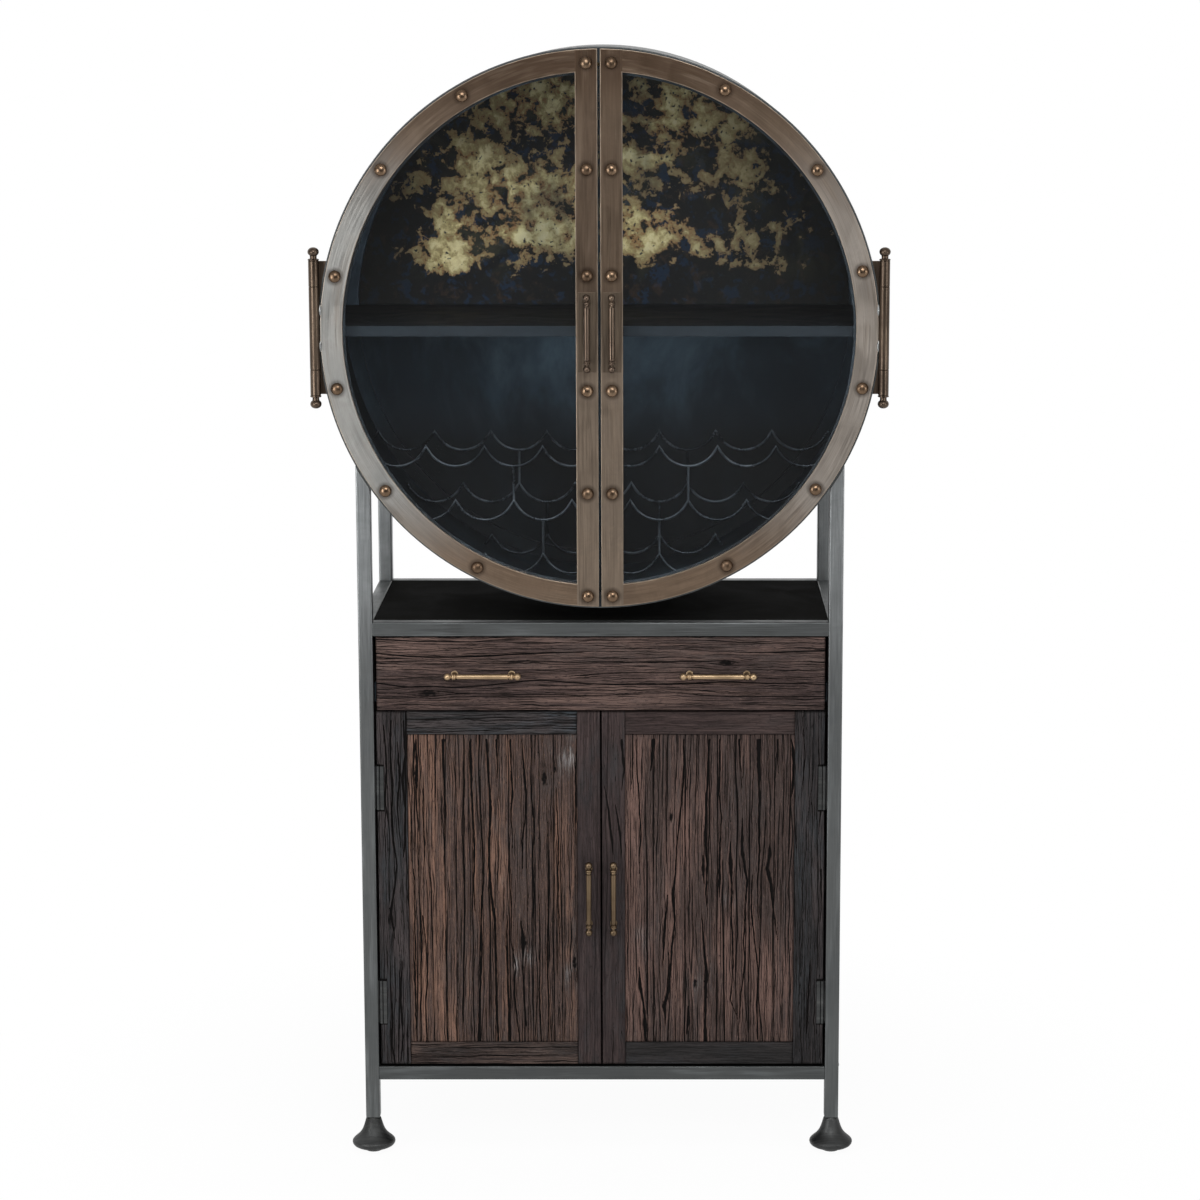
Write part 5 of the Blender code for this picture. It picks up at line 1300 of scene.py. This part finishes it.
def tears_of(side_name, board):
    """The cracks of one board from the foot up, as arrays of x and height in metres and width in 0.6 mm."""
    signs = np.array((dict(SIDES)[side_name], -1, 1))
    runs = [(np.reshape(run, (-1, 3))[::-1] * signs).T for run in TEARS.get((side_name, board), ())]
    return [(east / 1000, height / 1000, wide) for east, height, wide in runs]


def build_drawer(handle_form):
    """Plank front and its two bar handles."""
    rough_board("drawer_plank", DRAWER_LOW, DRAWER_HIGH, "x", 3, DRAWER_WOOD, "drawer", "drawer_front",
                knots=((DRAWER_LOW.z + 0.03, -0.30, 0.010), (DRAWER_LOW.z + 0.085, 0.22, 0.008)))
    repaint("drawer_box", BOX_TIMBER)
    for side_name, _ in SIDES:
        node = f"{side_name}_drawer_handle"
        x, _, z = middle(node)
        place = Matrix.Translation((x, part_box(node)[1].y, z)) @ Matrix.Rotation(math.pi / 2, 4, "Y")
        fit(copied(handle_form, f"{side_name}_drawer_bar", place), LIT_DRAWER_BRASS, "drawer", node)


def build_cupboard_doors(handle_form):
    """Four frame boards, the plank panel, hinge leaves and the handle of each door."""
    y = DRAWER_LOW.y
    for side_name, side in SIDES:
        body = f"{side_name}_cupboard_door"
        low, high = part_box(f"{side_name}_door_frame")
        outer, inner = (low.x, high.x) if side < 0 else (high.x, low.x)
        panel_outer, panel_inner = side * 0.341, side * 0.042
        rail_ends = (panel_outer - side * 0.0003, panel_inner + side * 0.0003)
        seed = {"left": 11, "right": 37}[side_name]

        def board(label, ends, z_one, z_two, along, number, material, **more):
            near, far = sorted(ends)
            rough_board(f"{side_name}_{label}", (near, y, z_one), (far, high.y, z_two), along, seed + number, material,
                        body, f"{side_name}_door_frame", **more)

        notches = []
        for level, _ in LEVELS:
            leaf_low, leaf_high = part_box(f"{side_name}_{level}_door_leaf")
            for reach, margin, deep in ((0.3812, 0.0016, 0.0016), (0.3882, 0.0012, 0.0068)):
                notches.append((*span(side, reach, 0.4), leaf_low.z - margin, leaf_high.z + margin, deep))
            near, far = span(side, 0.3824, 0.3888)
            plate = bar(f"{side_name}_{level}_leaf_plate", (near, y + 0.0002, leaf_low.z + 0.0004),
                        (far, y + 0.0016, leaf_high.z - 0.0004), 0.0003)
            fit(plate, IRON, body, None, "dark_iron")
        board("hinge_stile", (outer, panel_outer), low.z, high.z, "z", 1, HINGE_STILE, notches=notches,
              tears=tears_of(side_name, "hinge_stile"), knots=((-0.374, CENTRE - 1.043, 0.006),) if side < 0 else ())
        board("meeting_stile", (inner, panel_inner), low.z, high.z, "z", 2, RED_STILE, cracking=0.45,
              tears=tears_of(side_name, "meeting_stile"), glows=((side * 21, -975, 14, 75, -0.5),))
        top_wood, foot_wood, cracking = (BLUE_RAIL, BROWN_RAIL, 0.9) if side < 0 else (RED_RAIL, GREY_RAIL, 0.3)
        board("top_rail", rail_ends, high.z - DOOR_RAIL, high.z, "x", 3, top_wood, cracking=cracking)
        board("bottom_rail", rail_ends, low.z, low.z + DOOR_RAIL, "x", 4, foot_wood, cracking=cracking)

        planks = dict(PLANKS[side_name])
        planks["knots"] = [(x / 1000, CENTRE + z / 1000, size / 1000) for x, z, size in planks["knots"]]
        near, far = sorted((panel_outer, panel_inner))
        panel_low, panel_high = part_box(f"{side_name}_door_panel")
        rough_board(f"{side_name}_planks", (near, panel_low.y - 0.0022, low.z + DOOR_RAIL),
                    (far, panel_high.y, high.z - DOOR_RAIL), "z", seed + 7, LEFT_PANEL if side < 0 else RIGHT_PANEL,
                    body, f"{side_name}_door_panel", tears=tears_of(side_name, "planks"), **planks)
        node = f"{side_name}_door_handle"
        x, _, z = middle(node)
        handle = copied(handle_form, f"{side_name}_door_bar", Matrix.Translation((x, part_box(node)[1].y, z)))
        fit(handle, BRASS, body, node)
        for level, _ in LEVELS:
            repaint(f"{side_name}_{level}_door_leaf", IRON)


# Studio

def soft_light(name, place, target, size, size_y, power):
    light = bpy.data.lights.new(name, "AREA")
    light.shape = "RECTANGLE"
    light.size, light.size_y = size, size_y
    light.energy = power
    holder = bpy.data.objects.new(name, light)
    bpy.context.collection.objects.link(holder)
    holder.location = place
    holder.rotation_mode = "QUATERNION"
    holder.rotation_quaternion = (Vector(target) - Vector(place)).to_track_quat("-Z", "Y")
    holder.visible_transmission = False
    return holder


def build_camera():
    scene = bpy.context.scene
    scene.view_settings.view_transform = "Standard"
    camera = bpy.data.cameras.new("camera")
    camera.lens = 97.3
    camera.sensor_width = 36
    camera.shift_x = -0.052
    holder = bpy.data.objects.new("camera", camera)
    bpy.context.collection.objects.link(holder)
    holder.location = (0.108, FRONT - 5.559, CENTRE + 0.526)
    holder.rotation_euler = (math.radians(79.86), 0, 0)
    scene.camera = holder


def build_floor():
    """A white floor. Rays off a gloss or through glass see its front part darker, so that the glass stays clear."""
    deselect()
    bpy.ops.mesh.primitive_plane_add(size=60, location=(0, 0, 0))
    floor = named("studio_floor")
    material, place = new_material("pale_floor", Roughness=0.8, Specular_IOR_Level=0.1)
    tree = place.tree
    complete(material, place.clouds(3.0, 3.0).mix((0.86, 0.86, 0.86, 1), (0.88, 0.88, 0.88, 1)))
    camera, glossy, transmitted = light_path(tree)
    y = place.parts()[1]
    unlit = highest(transmitted * y.fade(-0.3, -1.1, 0.0, 0.9), glossy * y.fade(-3.2, -5.0, 0.0, 0.9))
    white = grow(tree, "ShaderNodeEmission", {"Color": (1, 1, 1, 1), "Strength": 1.0 - unlit})
    near = vector_calc("LENGTH", place, output="Value")
    share = highest(highest(camera, glossy), transmitted) * near.fade(0.45, 1.3, 0.96, 1.0)
    floor.data.materials.append(overlay(material, share, white))


def build_world():
    """White to the camera; glossy and transmitted rays see it dimmer in front, and diffuse light comes at 0.42."""
    world = bpy.data.worlds.new("studio")
    bpy.context.scene.world = world
    world.use_nodes = True
    tree = world.node_tree
    _, y, z = grow(tree, "ShaderNodeTexCoord", output="Generated").parts()
    camera, glossy, transmitted = light_path(tree)
    above = z.fade(0.05, 0.4) * calc("MULTIPLY_ADD", transmitted, 0.75, 0.6)
    behind = highest(y.fade(-0.15, 0.25, 0.10, 1.0), above)
    mirrored = highest(glossy, transmitted)
    level = highest(camera, mirrored * behind) + (1.0 - highest(camera, mirrored)) * 0.42
    ground = tree.nodes["Background"].inputs
    tree.links.new(level.socket, ground["Strength"])
    ground["Color"].default_value = (1, 1, 1, 1)


build_frame()
build_feet()
build_drum()
build_racks()
build_drum_doors()
build_drum_hinges()
thin_handle = build_handle_form("thin_handle_form", 0.0049)
build_drawer(thin_handle)
build_cupboard_doors(thin_handle)
bpy.data.objects.remove(thin_handle)
for name, material in (("deck_panel", BLACK), ("cupboard_floor", BLACK), ("left_wall", CASE), ("right_wall", CASE),
                       ("cupboard_back", CASE), ("drawer_divider", BLACK), ("cupboard_shelf", BLACK),
                       ("left_drawer_runner", SLATE), ("right_drawer_runner", SLATE)):
    repaint(name, material)
build_camera()
build_floor()
build_world()
soft_light("left_softbox", (-2.1, -2.5, 1.25), (-0.1, -0.2, 1.2), 1.1, 1.5, 37)
soft_light("right_softbox", (2.5, -2.4, 1.35), (0.1, -0.2, 1.2), 1.0, 1.5, 20)
soft_light("front_softbox", (0.3, -4.6, 3.6), (0, 0, 1.3), 2.2, 1.4, 92)
soft_light("top_softbox", (0.0, -1.2, 3.4), (0, 0, 1.2), 1.6, 1.2, 22).visible_glossy = False
